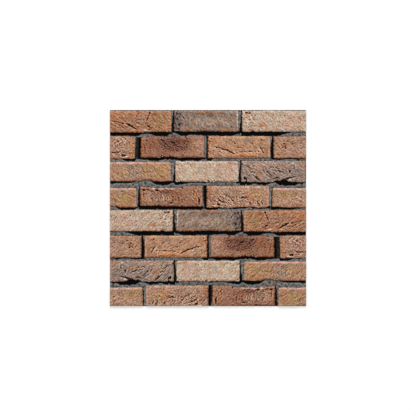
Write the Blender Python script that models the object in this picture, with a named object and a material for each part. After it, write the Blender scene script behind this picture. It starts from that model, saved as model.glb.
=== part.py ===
"""Peel and stick wall tile with a moulded brick face, lying flat on its adhesive side.

It is one sheet of vinyl: a thin mortar bed with the bricks standing up from it. Four
courses of bricks make a pattern. The pattern repeats down the tile, every second time
mirrored left to right, and the sheet is die-cut square through the bricks at its edges.

The origin is at the centre of the back face. +X runs to the right along the courses,
+Y up the wall and +Z out of the wall, towards the room.
"""

import math
from dataclasses import dataclass

import bmesh
import bpy

MM = 0.001

# The sheet
TILE_WIDTH = 305.0 * MM
TILE_HEIGHT = 305.0 * MM
BED_THICKNESS = 2.2 * MM

# The bricks, as they stand out of the bed
BRICK_LENGTH = 98.4 * MM
BRICK_HEIGHT = 32.9 * MM
BRICK_RELIEF = 2.8 * MM
BRICK_DRAFT = 0.4 * MM
BRICK_ARRIS = 0.6 * MM
CORNER_CUT = 1.4 * MM

# The joints between the bricks, and the strip of bed above the first course
HEAD_JOINT = 5.5 * MM
BED_JOINT = 5.75 * MM
TOP_STRIP = 1.6 * MM

# Where the first brick of a course starts, outside the tile's left edge
WHOLE_BOND_START = 3.0 * MM
HALF_BOND_START = 57.8 * MM

# How far the mirrored pattern stands to the left of the plain one
MIRROR_SHIFT = 1.6 * MM

# The hand-made unevenness of a brick's outline, as waves along its sides: how long each
# wave is, its share of the depth, and how far it is turned from one side to another
WANDER_DEPTH = 0.45 * MM
WANDER_WAVES = (
    (67.0 * MM, 0.40, 5.1),
    (26.0 * MM, 0.35, 8.3),
    (11.0 * MM, 0.25, 12.7),
)
SIDE_SEEDS = {"bottom": 0.0, "right": 0.25, "top": 0.5, "left": 0.75}
OUTLINE_STEP = 8.0 * MM
CLOSEST_POINTS = 0.9 * MM

COLOURS = {
    "mortar": (0.165, 0.170, 0.165),
    "terracotta": (0.349, 0.172, 0.099),
    "smoke": (0.270, 0.182, 0.137),
    "pink_tan": (0.480, 0.320, 0.230),
    "clay": (0.385, 0.215, 0.139),
    "umber": (0.258, 0.118, 0.073),
    "peach": (0.423, 0.222, 0.134),
    "ochre": (0.388, 0.220, 0.128),
    "sand": (0.519, 0.370, 0.270),
    "mauve": (0.288, 0.195, 0.153),
    "red_brown": (0.302, 0.148, 0.094),
}
BRICK_ROUGHNESS = 0.75


@dataclass(frozen=True)
class Chip:
    """A stretch of a brick's edge that is broken back, with a slope at both ends.

    It is measured along a side, from the left on the top and the bottom and from the
    bottom on the left and the right. A start below nought lies past the corner.
    """

    side: str
    start: float
    end: float
    depth: float
    slope: float


@dataclass(frozen=True)
class Brick:
    """One brick of a course, by what sets it apart from a plain one."""

    colour: str
    longer: float = 0.0
    joint_wider: float = 0.0
    prouder: float = 0.0
    top_in: float = 0.0
    bottom_in: float = 0.0
    chips: tuple = ()


@dataclass(frozen=True)
class Course:
    """One course of the pattern: its bricks from the left, and how it is laid."""

    start: float
    lower: float
    taller: float
    bricks: tuple


PATTERN = (
    Course(
        start=-WHOLE_BOND_START,
        lower=0.0 * MM,
        taller=-0.1 * MM,
        bricks=(
            Brick(
                "terracotta",
                longer=0.2 * MM,
                joint_wider=-0.7 * MM,
                prouder=0.1 * MM,
                bottom_in=0.2 * MM,
            ),
            Brick(
                "smoke",
                longer=1.3 * MM,
                joint_wider=-0.8 * MM,
                prouder=-0.2 * MM,
                top_in=-0.2 * MM,
                bottom_in=0.8 * MM,
                chips=(Chip("bottom", 30.0 * MM, 76.0 * MM, 0.6 * MM, 15.0 * MM),),
            ),
            Brick(
                "pink_tan",
                longer=3.6 * MM,
                prouder=0.2 * MM,
                top_in=-0.2 * MM,
                bottom_in=0.8 * MM,
                chips=(Chip("bottom", 13.5 * MM, 19.5 * MM, 1.6 * MM, 2.4 * MM),),
            ),
        ),
    ),
    Course(
        start=-HALF_BOND_START,
        lower=0.3 * MM,
        taller=0.6 * MM,
        bricks=(
            Brick("clay", joint_wider=2.0 * MM, top_in=0.4 * MM, bottom_in=-0.4 * MM),
            Brick(
                "umber",
                joint_wider=0.4 * MM,
                prouder=-0.1 * MM,
                top_in=0.2 * MM,
                bottom_in=0.8 * MM,
                chips=(Chip("top", 3.4 * MM, 12.4 * MM, 1.5 * MM, 3.0 * MM),),
            ),
            Brick(
                "peach",
                longer=-1.6 * MM,
                joint_wider=-0.2 * MM,
                prouder=0.2 * MM,
                bottom_in=0.8 * MM,
            ),
            Brick("clay", prouder=-0.1 * MM, top_in=0.5 * MM),
        ),
    ),
    Course(
        start=-WHOLE_BOND_START,
        lower=0.8 * MM,
        taller=-0.1 * MM,
        bricks=(
            Brick(
                "ochre",
                longer=0.1 * MM,
                joint_wider=0.5 * MM,
                top_in=1.1 * MM,
                bottom_in=1.5 * MM,
                chips=(Chip("bottom", 51.0 * MM, 71.0 * MM, 2.2 * MM, 6.0 * MM),),
            ),
            Brick(
                "sand",
                longer=-0.2 * MM,
                joint_wider=-1.0 * MM,
                prouder=0.2 * MM,
                top_in=-0.1 * MM,
                bottom_in=0.8 * MM,
                chips=(
                    Chip("top", 6.0 * MM, 17.0 * MM, 1.0 * MM, 2.5 * MM),
                    Chip("top", 33.5 * MM, 38.0 * MM, 1.2 * MM, 1.8 * MM),
                ),
            ),
            Brick(
                "mauve",
                longer=1.7 * MM,
                prouder=-0.2 * MM,
                top_in=-0.1 * MM,
                bottom_in=0.2 * MM,
                chips=(
                    Chip("top", 76.5 * MM, 82.5 * MM, 1.6 * MM, 2.4 * MM),
                    Chip("bottom", 5.0 * MM, 10.0 * MM, 2.4 * MM, 2.0 * MM),
                    Chip("bottom", 46.0 * MM, 73.0 * MM, 4.4 * MM, 8.0 * MM),
                ),
            ),
        ),
    ),
    Course(
        start=-HALF_BOND_START,
        lower=1.25 * MM,
        taller=-0.3 * MM,
        bricks=(
            Brick(
                "ochre",
                longer=0.3 * MM,
                prouder=0.1 * MM,
                top_in=2.0 * MM,
                chips=(Chip("bottom", 52.0 * MM, 67.0 * MM, 2.0 * MM, 5.0 * MM),),
            ),
            Brick(
                "red_brown",
                longer=-0.7 * MM,
                top_in=-0.2 * MM,
                bottom_in=0.2 * MM,
                chips=(Chip("top", 16.0 * MM, 66.5 * MM, 2.4 * MM, 2.0 * MM),),
            ),
            Brick(
                "clay",
                longer=-0.4 * MM,
                joint_wider=-0.8 * MM,
                prouder=0.1 * MM,
                top_in=-0.3 * MM,
                chips=(Chip("bottom", 16.0 * MM, 21.5 * MM, 1.5 * MM, 2.2 * MM),),
            ),
            Brick("ochre", top_in=2.0 * MM),
        ),
    ),
)


def wander(along, seed):
    """A smooth uneven line along a brick's side, other for each seed."""
    line = 0.0
    for length, share, turn in WANDER_WAVES:
        line += share * math.sin(math.tau * along / length + turn * seed)
    return line * WANDER_DEPTH


def chip_depth(chips, along):
    """How far a side is broken back at a place along it."""
    depth = 0.0
    for chip in chips:
        inside = min(along - chip.start, chip.end - along)
        depth = max(depth, chip.depth * min(1.0, inside / chip.slope))
    return depth


def side_places(length, chips):
    """The places along a side that its shape needs: even steps, and each chip's corners."""
    first = CORNER_CUT
    last = length - CORNER_CUT
    steps = max(2, round((last - first) / OUTLINE_STEP))
    wanted = []
    for chip in chips:
        wanted += (chip.start, chip.start + chip.slope, chip.end - chip.slope, chip.end)
    wanted += (first + (last - first) * step / steps for step in range(1, steps))
    places = [first, last]
    for place in wanted:
        clear = all(abs(place - other) > CLOSEST_POINTS for other in places)
        if clear and first < place < last:
            places.append(place)
    return sorted(places)


def side_line(brick, side, length, seed):
    """A side as pairs: the place along it, and how far it lies inside the straight side."""
    chips = [chip for chip in brick.chips if chip.side == side]
    line = []
    for along in side_places(length, chips):
        broken = chip_depth(chips, along)
        line.append((along, wander(along, seed + SIDE_SEEDS[side]) + broken - BRICK_DRAFT))
    return line


def brick_outline(brick, length, height, seed):
    """A brick's foot, counter-clockwise from its bottom left corner at (0, 0)."""
    bottom = side_line(brick, "bottom", length, seed)
    right = side_line(brick, "right", height, seed)
    top = side_line(brick, "top", length, seed)
    left = side_line(brick, "left", height, seed)
    points = [(along, inside) for along, inside in bottom]
    points += [(length - inside, along) for along, inside in right]
    points += [(along, height - inside) for along, inside in reversed(top)]
    points += [(inside, along) for along, inside in reversed(left)]
    return points


def to_tile(points, left, bottom, mirrored):
    """Points measured from a brick's corner, from the tile's centre."""
    placed = []
    for along, up in points:
        across = left + along
        if mirrored:
            across = TILE_WIDTH - MIRROR_SHIFT - across
        placed.append((across - TILE_WIDTH / 2, bottom + up - TILE_HEIGHT / 2))
    if mirrored:
        placed.reverse()
    return placed


def inset_and_lift(mesh, face, inset, lift):
    """Sets a wall on the edge of a face, which leans in by the inset and rises by the lift."""
    bmesh.ops.inset_region(mesh, faces=[face], thickness=inset, use_even_offset=True)
    bmesh.ops.translate(mesh, verts=face.verts, vec=(0.0, 0.0, lift))


def add_brick(mesh, outline, prouder, material):
    """A brick with its root half-way down the bed, a leaning wall and a broken arris."""
    root = BED_THICKNESS / 2
    corners = [mesh.verts.new((x, y, root)) for x, y in outline]
    foot = mesh.faces.new(corners)
    foot.material_index = material
    grown = bmesh.ops.extrude_face_region(mesh, geom=[foot], use_keep_orig=True)
    face = next(item for item in grown["geom"] if isinstance(item, bmesh.types.BMFace))
    bmesh.ops.reverse_faces(mesh, faces=[foot])
    bmesh.ops.translate(mesh, verts=face.verts, vec=(0.0, 0.0, BED_THICKNESS - root))
    inset_and_lift(mesh, face, BRICK_DRAFT, BRICK_RELIEF + prouder - BRICK_ARRIS)
    inset_and_lift(mesh, face, BRICK_ARRIS, BRICK_ARRIS)


def add_course(mesh, course, top, mirrored, seed):
    """Lays a course of the pattern, brick by brick, until it passes the tile's right edge."""
    course_height = BRICK_HEIGHT + course.taller
    course_bottom = TILE_HEIGHT - top - course_height
    left = course.start
    number = 0
    while left < TILE_WIDTH:
        brick = course.bricks[number % len(course.bricks)]
        length = BRICK_LENGTH + brick.longer
        height = course_height - brick.top_in - brick.bottom_in
        outline = brick_outline(brick, length, height, seed + number)
        placed = to_tile(outline, left, course_bottom + brick.bottom_in, mirrored)
        add_brick(mesh, placed, brick.prouder, list(COLOURS).index(brick.colour))
        left += length + HEAD_JOINT + brick.joint_wider
        number += 1


def lay_bricks(mesh):
    """Lays courses down the tile, and mirrors every second run of the pattern."""
    course_pitch = BRICK_HEIGHT + BED_JOINT
    row = 0
    while TOP_STRIP + row * course_pitch < TILE_HEIGHT:
        run, place = divmod(row, len(PATTERN))
        course = PATTERN[place]
        top = TOP_STRIP + row * course_pitch + course.lower
        add_course(mesh, course, top, run % 2 == 1, seed=place * len(PATTERN))
        row += 1


def add_box(mesh, width, height, low, high):
    """A block centred on the tile, between two levels."""
    made = bmesh.ops.create_cube(mesh, size=1.0)
    bmesh.ops.scale(mesh, verts=made["verts"], vec=(width, height, high - low))
    bmesh.ops.translate(mesh, verts=made["verts"], vec=(0.0, 0.0, (high + low) / 2))


def new_object(name, mesh, materials):
    """Puts a finished mesh in the scene."""
    data = bpy.data.meshes.new(name)
    mesh.to_mesh(data)
    mesh.free()
    for material in materials:
        data.materials.append(material)
    made = bpy.data.objects.new(name, data)
    bpy.context.scene.collection.objects.link(made)
    return made


def as_tool(made):
    """Keeps an object as a guide for a Boolean, out of the model itself."""
    made.hide_render = True
    made.display_type = "WIRE"


def join_with(made, operation, tool):
    """Adds a live Boolean between an object and a guide."""
    boolean = made.modifiers.new(tool.name, "BOOLEAN")
    boolean.operation = operation
    boolean.solver = "EXACT"
    boolean.object = tool


def brick_materials():
    """A matte material for the mortar and for each colour of brick."""
    materials = []
    for name, colour in COLOURS.items():
        material = bpy.data.materials.new(name)
        material.use_nodes = True
        shader = material.node_tree.nodes["Principled BSDF"]
        shader.inputs["Base Color"].default_value = (*colour, 1.0)
        shader.inputs["Roughness"].default_value = BRICK_ROUGHNESS
        shader.inputs["Metallic"].default_value = 0.0
        materials.append(material)
    return materials


def build_tile():
    """The sheet: an oversize bed, with the bricks joined on and the edges die-cut square."""
    materials = brick_materials()
    waste = BRICK_LENGTH

    bricks = bmesh.new()
    lay_bricks(bricks)
    bricks = new_object("brick_bodies", bricks, materials)
    as_tool(bricks)

    die = bmesh.new()
    add_box(die, TILE_WIDTH, TILE_HEIGHT, -BED_THICKNESS, BED_THICKNESS + 2 * BRICK_RELIEF)
    die = new_object("die_cut", die, materials)
    as_tool(die)

    bed = bmesh.new()
    add_box(bed, TILE_WIDTH + waste, TILE_HEIGHT + waste, 0.0, BED_THICKNESS)
    tile = new_object("brick_tile", bed, materials)
    join_with(tile, "UNION", bricks)
    join_with(tile, "INTERSECT", die)


def clear_scene():
    """Removes whatever objects the scene holds."""
    for old in list(bpy.data.objects):
        bpy.data.objects.remove(old)


clear_scene()
build_tile()
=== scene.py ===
"""Looks of a peel and stick wall tile: moulded and printed bricks over a grey mortar bed.

Four courses of bricks make a pattern, and the lower half of the tile repeats it, mirrored
left to right. The bricks, joints, cracks and stains are laid out on a drawing of that
pattern, in millimetres: across from the tile's left edge and down from its top edge. The
light and shade that the real tile has printed on it are painted here: on the faces they are
worked out from the relief, and the black shadow bands follow lists given course by course
and brick by brick.

The objects are in metres. The origin is at the centre of the tile's back, +X runs to the
right along the courses, +Y up the wall and +Z out through the brick face.
"""

import math
from dataclasses import dataclass

import bmesh
import bpy
from bpy.props import FloatProperty, FloatVectorProperty, PointerProperty
from mathutils import Matrix, Vector, noise


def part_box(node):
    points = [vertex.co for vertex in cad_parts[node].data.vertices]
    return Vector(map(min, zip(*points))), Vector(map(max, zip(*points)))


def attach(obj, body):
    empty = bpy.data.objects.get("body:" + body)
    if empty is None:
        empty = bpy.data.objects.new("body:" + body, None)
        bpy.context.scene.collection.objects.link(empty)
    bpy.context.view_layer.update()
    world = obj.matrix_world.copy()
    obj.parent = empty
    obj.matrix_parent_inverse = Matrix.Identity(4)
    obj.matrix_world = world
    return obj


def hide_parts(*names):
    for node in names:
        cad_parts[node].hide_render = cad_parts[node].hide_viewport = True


bl_info = {
    "name": "Peel and stick brick tile",
    "version": (1, 0, 0),
    "blender": (4, 5, 0),
    "location": "View3D > Sidebar > Brick Tile",
    "description": "Models and finishes a self-adhesive wall tile with a moulded brick face",
    "category": "Add Mesh",
}

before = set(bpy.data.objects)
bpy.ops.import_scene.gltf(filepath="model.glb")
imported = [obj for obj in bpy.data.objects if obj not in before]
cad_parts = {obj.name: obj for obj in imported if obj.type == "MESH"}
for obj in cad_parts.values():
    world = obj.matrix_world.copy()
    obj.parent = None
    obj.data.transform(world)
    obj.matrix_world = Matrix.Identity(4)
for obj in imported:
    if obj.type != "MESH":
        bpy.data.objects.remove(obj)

MM = 0.001
ROOT_NODE = "brick_tile"
TILE_LOW, TILE_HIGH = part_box(ROOT_NODE)
TILE_WIDTH = (TILE_HIGH.x - TILE_LOW.x) / MM
TILE_HEIGHT = (TILE_HIGH.y - TILE_LOW.y) / MM


@dataclass(frozen=True)
class Chip:
    """A stretch of a brick's edge that is broken back, measured along its side in mm."""

    side: str
    start: float
    end: float
    depth: float
    slope: float


@dataclass(frozen=True)
class Crack:
    """A line sunk in the face through places on the drawing, painted dark as the shade in it."""

    places: tuple
    width: float = 0.9
    depth: float = 0.9


@dataclass(frozen=True)
class Hollow:
    """A pit, or with a depth below nought a raised lump."""

    across: float
    down: float
    long: float = 1.2
    wide: float = 1.2
    turn: float = 0.0
    depth: float = 1.0


@dataclass(frozen=True)
class Fold:
    """A patch where the clay is folded and torn more deeply, by its half lengths."""

    across: float
    down: float
    long: float
    wide: float
    turn: float = 30.0
    depth: float = 0.5


@dataclass(frozen=True)
class Stain:
    """A patch of another colour or a painted highlight, by half lengths and turn in degrees."""

    colour: str
    across: float
    down: float
    long: float
    wide: float
    turn: float = 0.0
    strength: float = 0.7


@dataclass(frozen=True)
class Brick:
    """One brick of a course, by what sets it apart from a plain one.

    Its shadow is how far the printed black reaches to its left: at its top, middle and foot.
    """

    colour: str
    longer: float = 0.0
    joint_wider: float = 0.0
    prouder: float = 0.0
    top_in: float = 0.0
    bottom_in: float = 0.0
    chips: tuple = ()
    contrast: float = 1.0
    pits: float = 0.4
    crease: float = 0.5
    crease_turn: float = -35.0
    shadow: tuple = (1.8, 3.1, 4.3)
    folds: tuple = ()
    cracks: tuple = ()
    hollows: tuple = ()
    stains: tuple = ()


@dataclass(frozen=True)
class Course:
    """A course: its bricks from the left, and the printed shadow line under it.

    The shadow line holds places across the tile, each with how far the black reaches
    below the bricks there. They were picked from measurements of the photo's dark bands.
    """

    start: float
    lower: float
    taller: float
    bricks: tuple
    shadow: tuple


# The bricks of the pattern, named by their course and their place from the left
BRICK_1_1 = Brick(
    "terracotta",
    longer=-0.4,
    joint_wider=-0.7,
    prouder=0.1,
    bottom_in=-0.6,
    chips=(Chip("bottom", 56.0, 104.0, 0.7, 8.0),),
    crease=0.7,
    crease_turn=28.0,
    folds=(Fold(24, 25, 30, 9, 28, 0.8), Fold(60, 27, 7, 6, 30, 0.7)),
    cracks=(
        Crack(((25, 21.3), (29, 22.8), (33, 25.6), (40, 29.4)), 1.9, 1.4),
        Crack(((3, 17.6), (9, 18.4), (17, 20.8)), 1.2, 0.7),
        Crack(((57.5, 25.6), (60, 25), (62, 26.4), (64, 29)), 1.4, 1.0),
        Crack(((63, 4), (60, 9), (57, 15), (55.5, 22)), 1.7, 0.8),
    ),
    hollows=(
        Hollow(61.5, 5.0, 1.8, 1.8, 30, 1.2),
        Hollow(19.8, 21.4, 2.3, 1.5, 25, 1.6),
        Hollow(60.4, 26, 2.4, 1.3, 20, 1.2),
        Hollow(61, 31, 1.8, 1.0, 0, 1.1),
        Hollow(71, 27.5, 1.3, 1.0),
        Hollow(55.5, 32, 3.0, 1.1, 0, -0.5),
        Hollow(8, 25, 2.6, 1.0, 32, 0.9),
        Hollow(12.5, 28, 2.4, 0.9, 32, 0.8),
        Hollow(14.5, 24, 2.8, 1.0, 36, 1.0),
        Hollow(19.5, 27.6, 2.4, 0.9, 32, 0.8),
        Hollow(24, 30, 2.2, 0.9, 30, 0.7),
        Hollow(45, 21, 2.0, 1.1, 40, 0.7),
        Hollow(41.5, 10.5, 2.2, 1.1, 35, 0.6),
        Hollow(1.6, 10, 1.1, 1.8, 0, 0.8),
        Hollow(82, 25, 0.9, 0.9),
        Hollow(90, 26, 0.9, 0.9),
        Hollow(36, 32, 2.6, 1.0, 0, -0.4),
    ),
    stains=(
        Stain("orange", 8, 10, 9, 6, 0, 0.6),
        Stain("orange", 36, 3.5, 20, 2.2, 0, 0.5),
        Stain("ash", 47, 16, 12, 7, 0, 0.3),
        Stain("rust", 14, 22, 9, 4, 20, 0.35),
        Stain("rust", 70, 6.5, 6, 2.5, -10, 0.7),
        Stain("yellow", 82, 18, 16, 13, 0, 0.28),
        Stain("olive", 79, 16, 12, 8, 0, 0.45),
        Stain("yellow", 36, 32, 4, 1.6, 0, 0.6),
        # Painted highlight on the lump at the chipped foot
        Stain("cream_and_highlight", 55.5, 32, 3.5, 1.5, 0, 0.6),
    ),
)
BRICK_1_2 = Brick(
    "smoke",
    longer=1.4,
    joint_wider=0.5,
    prouder=-0.2,
    top_in=-0.2,
    bottom_in=0.5,
    chips=(
        Chip("bottom", 30.0, 76.0, 0.8, 15.0),
        Chip("bottom", -4.0, 14.0, 1.6, 9.0),
    ),
    contrast=1.08,
    crease=0.5,
    crease_turn=55.0,
    folds=(
        Fold(105.5, 18, 6, 17, 80, 1.1),
        Fold(117, 14, 7, 13, 55, 0.9),
        Fold(150, 18, 40, 9, 50, 0.35),
    ),
    hollows=(
        Hollow(107.5, 23.5, 1.8, 3.0, -10, 1.2),
        Hollow(106.5, 30, 2.0, 1.8, 0, 1.0),
        Hollow(114, 12, 1.4, 3.0, -25, 0.8),
        Hollow(103.5, 6, 1.3, 3.0, -15, 1.0),
        Hollow(109, 7, 1.2, 2.6, -15, 0.9),
        Hollow(104, 15, 1.2, 2.4, 10, 0.9),
    ),
    stains=(
        Stain("orange", 153, 3.0, 25, 1.8, 0, 0.85),
        Stain("orange", 193, 2.2, 8, 1.8, 0, 0.85),
        Stain("blue_grey", 141, 6.2, 12, 1.8, 0, 0.7),
        Stain("soot", 157, 8.5, 6, 3.2, 0, 0.45),
        Stain("blue_grey", 192, 6.0, 6, 2.6, 0, 0.6),
        Stain("soot", 105, 18, 6.5, 18, 0, 0.62),
        Stain("blue_grey", 112, 12, 9, 12, 0, 0.35),
        Stain("soot", 148, 4.5, 42, 2.4, 0, 0.3),
        Stain("orange", 122, 29.5, 6, 2.6, 0, 0.6),
        Stain("orange", 180, 30.6, 16, 2.2, 0, 0.5),
        # Painted highlight along the right edge
        Stain("cream_and_highlight", 198.6, 15, 1.4, 14, 0, 0.55),
        Stain("cream_and_highlight", 187, 23, 6, 5, 0, 0.2),
        Stain("cream_and_highlight", 155, 18, 34, 6, 0, 0.22),
    ),
)
BRICK_1_3 = Brick(
    "pink_tan",
    longer=2.8,
    prouder=0.2,
    top_in=-0.2,
    bottom_in=0.6,
    chips=(Chip("bottom", 13.5, 19.5, 1.6, 2.4),),
    contrast=0.85,
    pits=0.25,
    shadow=(1.6, 2.8, 5.4),
    crease=0.6,
    crease_turn=48.0,
    folds=(Fold(222, 12, 14, 11, 58, 0.8), Fold(292, 18, 14, 13, 62, 0.7)),
    hollows=(
        Hollow(212, 4.8, 3.0, 1.6, 10, 1.2),
        Hollow(217, 5.4, 2.4, 1.4, -20, 1.1),
        Hollow(212.4, 12.6, 1.3, 1.2, 0, 0.8),
        Hollow(217.2, 16, 1.2, 1.2, 0, 0.9),
        Hollow(271, 9.5, 1.6, 1.2, 60, 0.9),
    ),
    stains=(
        Stain("orange", 237, 24, 6, 3.6, 0, 0.75),
        Stain("orange", 226, 25, 2, 1.6, 0, 0.7),
        Stain("orange", 243, 4, 3.5, 1.6, 0, 0.6),
        Stain("rust", 215, 5, 6, 3, 0, 0.6),
        Stain("cream_and_highlight", 228, 12, 8, 8, 40, 0.5),
        Stain("cream_and_highlight", 298, 22, 6, 5, 30, 0.5),
        Stain("pink_and_highlight", 238, 32, 14, 1.8, 0, 0.6),
        Stain("pink_and_highlight", 282, 18, 20, 13, 0, 0.3),
        Stain("rust", 219, 31, 3, 1.6, 0, 0.7),
    ),
)
BRICK_2_1 = Brick(
    "clay",
    longer=-2.3,
    joint_wider=4.5,
    top_in=0.4,
    bottom_in=-1.2,
    contrast=0.88,
    pits=0.8,
    crease=0.95,
    crease_turn=-40.0,
    folds=(
        Fold(16, 51, 15, 9, -45, 1.1),
        Fold(10, 67, 14, 7, 20, 0.8),
        Fold(34, 60, 7, 12, -60, 0.9),
    ),
    cracks=(
        Crack(((18.5, 69.2), (21, 71.3), (24, 71.6)), 2.4, 1.8),
        Crack(((2, 68), (6, 66), (10, 67.4), (16, 64.8)), 1.3, 0.9),
    ),
    hollows=(
        Hollow(21.4, 71, 3.0, 1.8, 0, 1.6),
        Hollow(12.7, 66, 1.8, 1.2),
        Hollow(4, 66, 1.4, 1.2),
        Hollow(9, 70, 1.4, 1.1),
        Hollow(25.5, 73, 3.2, 1.0, 0, -0.5),
    ),
    stains=(
        Stain("orange", 36, 57, 5, 16, 0, 0.6),
        Stain("pink_and_highlight", 12, 55, 14, 12, 0, 0.45),
        Stain("rust", 14, 66, 18, 6, 0, 0.15),
        Stain("red_brown", 24, 56, 24, 18, 0, 0.1),
        Stain("mauve", 20, 60, 12, 5, 0, 0.4),
        # Painted highlight on the lump beside the pit
        Stain("cream_and_highlight", 25, 73, 3.5, 1.4, 0, 0.8),
        Stain("orange", 26, 67, 2.6, 2.0, 0, 0.7),
        Stain("cream_and_highlight", 22, 47, 5, 4, -30, 0.35),
    ),
)
BRICK_2_2 = Brick(
    "umber",
    longer=-0.1,
    joint_wider=0.4,
    prouder=-0.1,
    top_in=0.3,
    bottom_in=0.2,
    chips=(
        Chip("top", -3.0, 13.0, 2.0, 3.0),
        Chip("top", 29.0, 43.0, 1.3, 5.0),
        Chip("bottom", 27.0, 58.0, 1.5, 5.0),
    ),
    contrast=1.05,
    shadow=(7.4, 9.8, 10.6),
    pits=1.0,
    crease=0.6,
    crease_turn=-50.0,
    folds=(Fold(100, 52, 26, 12, 40, 1.05), Fold(56, 54, 8, 14, 40, 0.7)),
    cracks=(
        Crack(((95, 50), (98, 51.6), (101, 52)), 1.8, 1.3),
        Crack(((75, 73), (80, 71.4), (86, 73)), 1.3, 0.9),
        Crack(((90, 73), (95, 71.6), (99, 73)), 1.3, 0.9),
    ),
    hollows=(
        Hollow(105.5, 41.8, 2.2, 1.5),
        Hollow(80.5, 47.5, 2.8, 2.0, 20, 0.6),
        Hollow(56, 43, 1.8, 1.3),
        Hollow(119, 45, 1.4, 1.3),
        Hollow(57, 48.4, 1.8, 1.3),
        Hollow(53, 58, 1.2, 2.4, 0, 0.8),
        Hollow(84.5, 56.6, 2.0, 1.2, 20),
        Hollow(83, 62, 1.2, 1.2),
        Hollow(104, 64, 2.0, 1.3),
        Hollow(115.5, 52, 1.5, 1.2),
        Hollow(96, 51.3, 2.2, 1.2),
        Hollow(107.6, 52, 1.6, 1.2),
        Hollow(117.4, 43, 1.5, 1.1),
        Hollow(121, 49.6, 1.5, 1.1),
        Hollow(105, 57.6, 1.6, 1.2),
        Hollow(90, 46.4, 1.5, 1.2),
        Hollow(80.5, 58.4, 1.4, 1.2),
        Hollow(98.6, 55, 1.4, 1.1),
        Hollow(62, 60, 1.6, 1.2),
        Hollow(119, 54, 1.3, 1.2),
        Hollow(125, 62.5, 1.2, 1.2),
        Hollow(116, 67.5, 1.3, 1.1),
        Hollow(89, 53, 1.6, 1.2, 0, -0.5),
    ),
    stains=(
        Stain("orange", 50, 56, 2.6, 15, 0, 0.7),
        Stain("orange", 54, 71, 5, 2.2, 0, 0.7),
        Stain("plum", 85, 49, 9, 7, 0, 0.6),
        Stain("plum", 101, 47, 11, 8, 0, 0.7),
        Stain("plum", 118, 50, 7, 7, 0, 0.55),
        Stain("plum", 97, 58, 24, 8, 0, 0.55),
        Stain("rust", 56, 58, 7, 6, 0, 0.5),
        Stain("rust", 98, 43, 2.2, 1.5, 0, 0.7),
        Stain("rust", 104, 46, 2, 1.4, 0, 0.7),
        Stain("rust", 66, 52, 10, 9, 0, 0.35),
        Stain("clay_light", 136, 58, 12, 15, 0, 0.75),
        Stain("pink_and_highlight", 139, 56, 5, 10, 0, 0.4),
        Stain("clay_light", 118, 70, 24, 3, 0, 0.5),
        # Painted highlight along the foot
        Stain("pink_and_highlight", 87, 72, 14, 1.4, 0, 0.7),
    ),
)
BRICK_2_3 = Brick(
    "peach",
    longer=-1.6,
    joint_wider=-0.2,
    prouder=0.2,
    top_in=0.1,
    bottom_in=-0.3,
    contrast=1.05,
    shadow=(2.8, 2.4, 3.2),
    crease=0.5,
    crease_turn=30.0,
    folds=(Fold(173, 63, 16, 9, 40, 0.8), Fold(236, 56, 12, 12, 40, 0.5)),
    cracks=(
        Crack(((162, 57.6), (169, 58.6), (175, 61)), 1.2, 0.9),
        Crack(((178, 61), (186.5, 65), (194, 68.6)), 1.6, 1.2),
        Crack(((232.6, 58.6), (236.4, 62)), 1.7, 1.1),
        Crack(((236, 63), (239.4, 68.4)), 1.5, 1.0),
        Crack(((214, 64.4), (222, 64.2)), 1.4, 1.0),
        Crack(((196, 66.8), (204, 65.4), (212, 64.8)), 1.1, 0.6),
    ),
    hollows=(
        Hollow(154.6, 49, 2.2, 1.6, 0, 0.6),
        Hollow(157, 45, 1.4, 1.3),
        Hollow(175.6, 61.4, 2.2, 1.5, 20, 1.6),
        Hollow(173.6, 64, 2.2, 1.4, 0, -0.6),
        Hollow(230.6, 64.4, 1.7, 1.2, 0, 1.1),
        Hollow(166, 59, 1.5, 1.2),
        Hollow(225.4, 64.4, 1.4, 1.2),
        Hollow(194.3, 52.4, 1.8, 1.2, 20),
        Hollow(198.6, 59, 1.3, 1.2),
        Hollow(235, 47, 1.5, 1.3),
        Hollow(214, 70, 20, 2.6, 0, -0.35),
    ),
    stains=(
        Stain("orange", 160, 47, 8, 6, 0, 0.5),
        Stain("orange", 213, 70, 21, 3, 0, 0.75),
        Stain("orange", 187, 69, 8, 3, 25, 0.5),
        Stain("ash", 215, 48.5, 11, 4.5, 0, 0.45),
        # Painted highlight on the lump beside the crack
        Stain("cream_and_highlight", 173.8, 64, 2.2, 1.4, 0, 0.8),
        Stain("plum", 174, 60.6, 9, 2.6, 10, 0.35),
        Stain("rust", 155.6, 50.4, 3, 2.4, 0, 0.6),
        Stain("rust", 236, 47, 6, 3, 0, 0.45),
        Stain("rust", 243, 60, 5, 10, 0, 0.4),
    ),
)
BRICK_2_4 = Brick(
    "clay",
    prouder=-0.1,
    top_in=0.5,
    bottom_in=-0.4,
    contrast=0.95,
    shadow=(2.4, 5.4, 5.2),
    pits=0.8,
    crease=0.6,
    crease_turn=-25.0,
    folds=(Fold(274, 55, 14, 9, 40, 0.7), Fold(297, 62, 9, 10, 45, 0.5)),
    hollows=(
        Hollow(270.5, 52.8, 1.8, 1.4, 0, 1.1),
        Hollow(263.4, 58.6, 1.3, 1.2),
        Hollow(268, 59, 1.3, 1.2),
        Hollow(272.8, 59.8, 2.0, 1.4, 30, 1.4),
        Hollow(276, 48.7, 2.2, 1.4, 20, 0.9),
        Hollow(284, 53, 1.6, 1.2),
        Hollow(297, 60.4, 1.5, 1.2),
        Hollow(298, 65, 2.0, 1.2, 0, -0.4),
    ),
    stains=(
        Stain("orange", 280, 43, 26, 2, 0, 0.6),
        Stain("rust", 271, 55, 5, 4, 0, 0.75),
        Stain("orange", 283, 47, 3, 2, 0, 0.6),
        Stain("pink_and_highlight", 296, 62, 8, 8, 0, 0.35),
        Stain("mauve", 292, 54, 16, 16, 0, 0.22),
    ),
)
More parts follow.
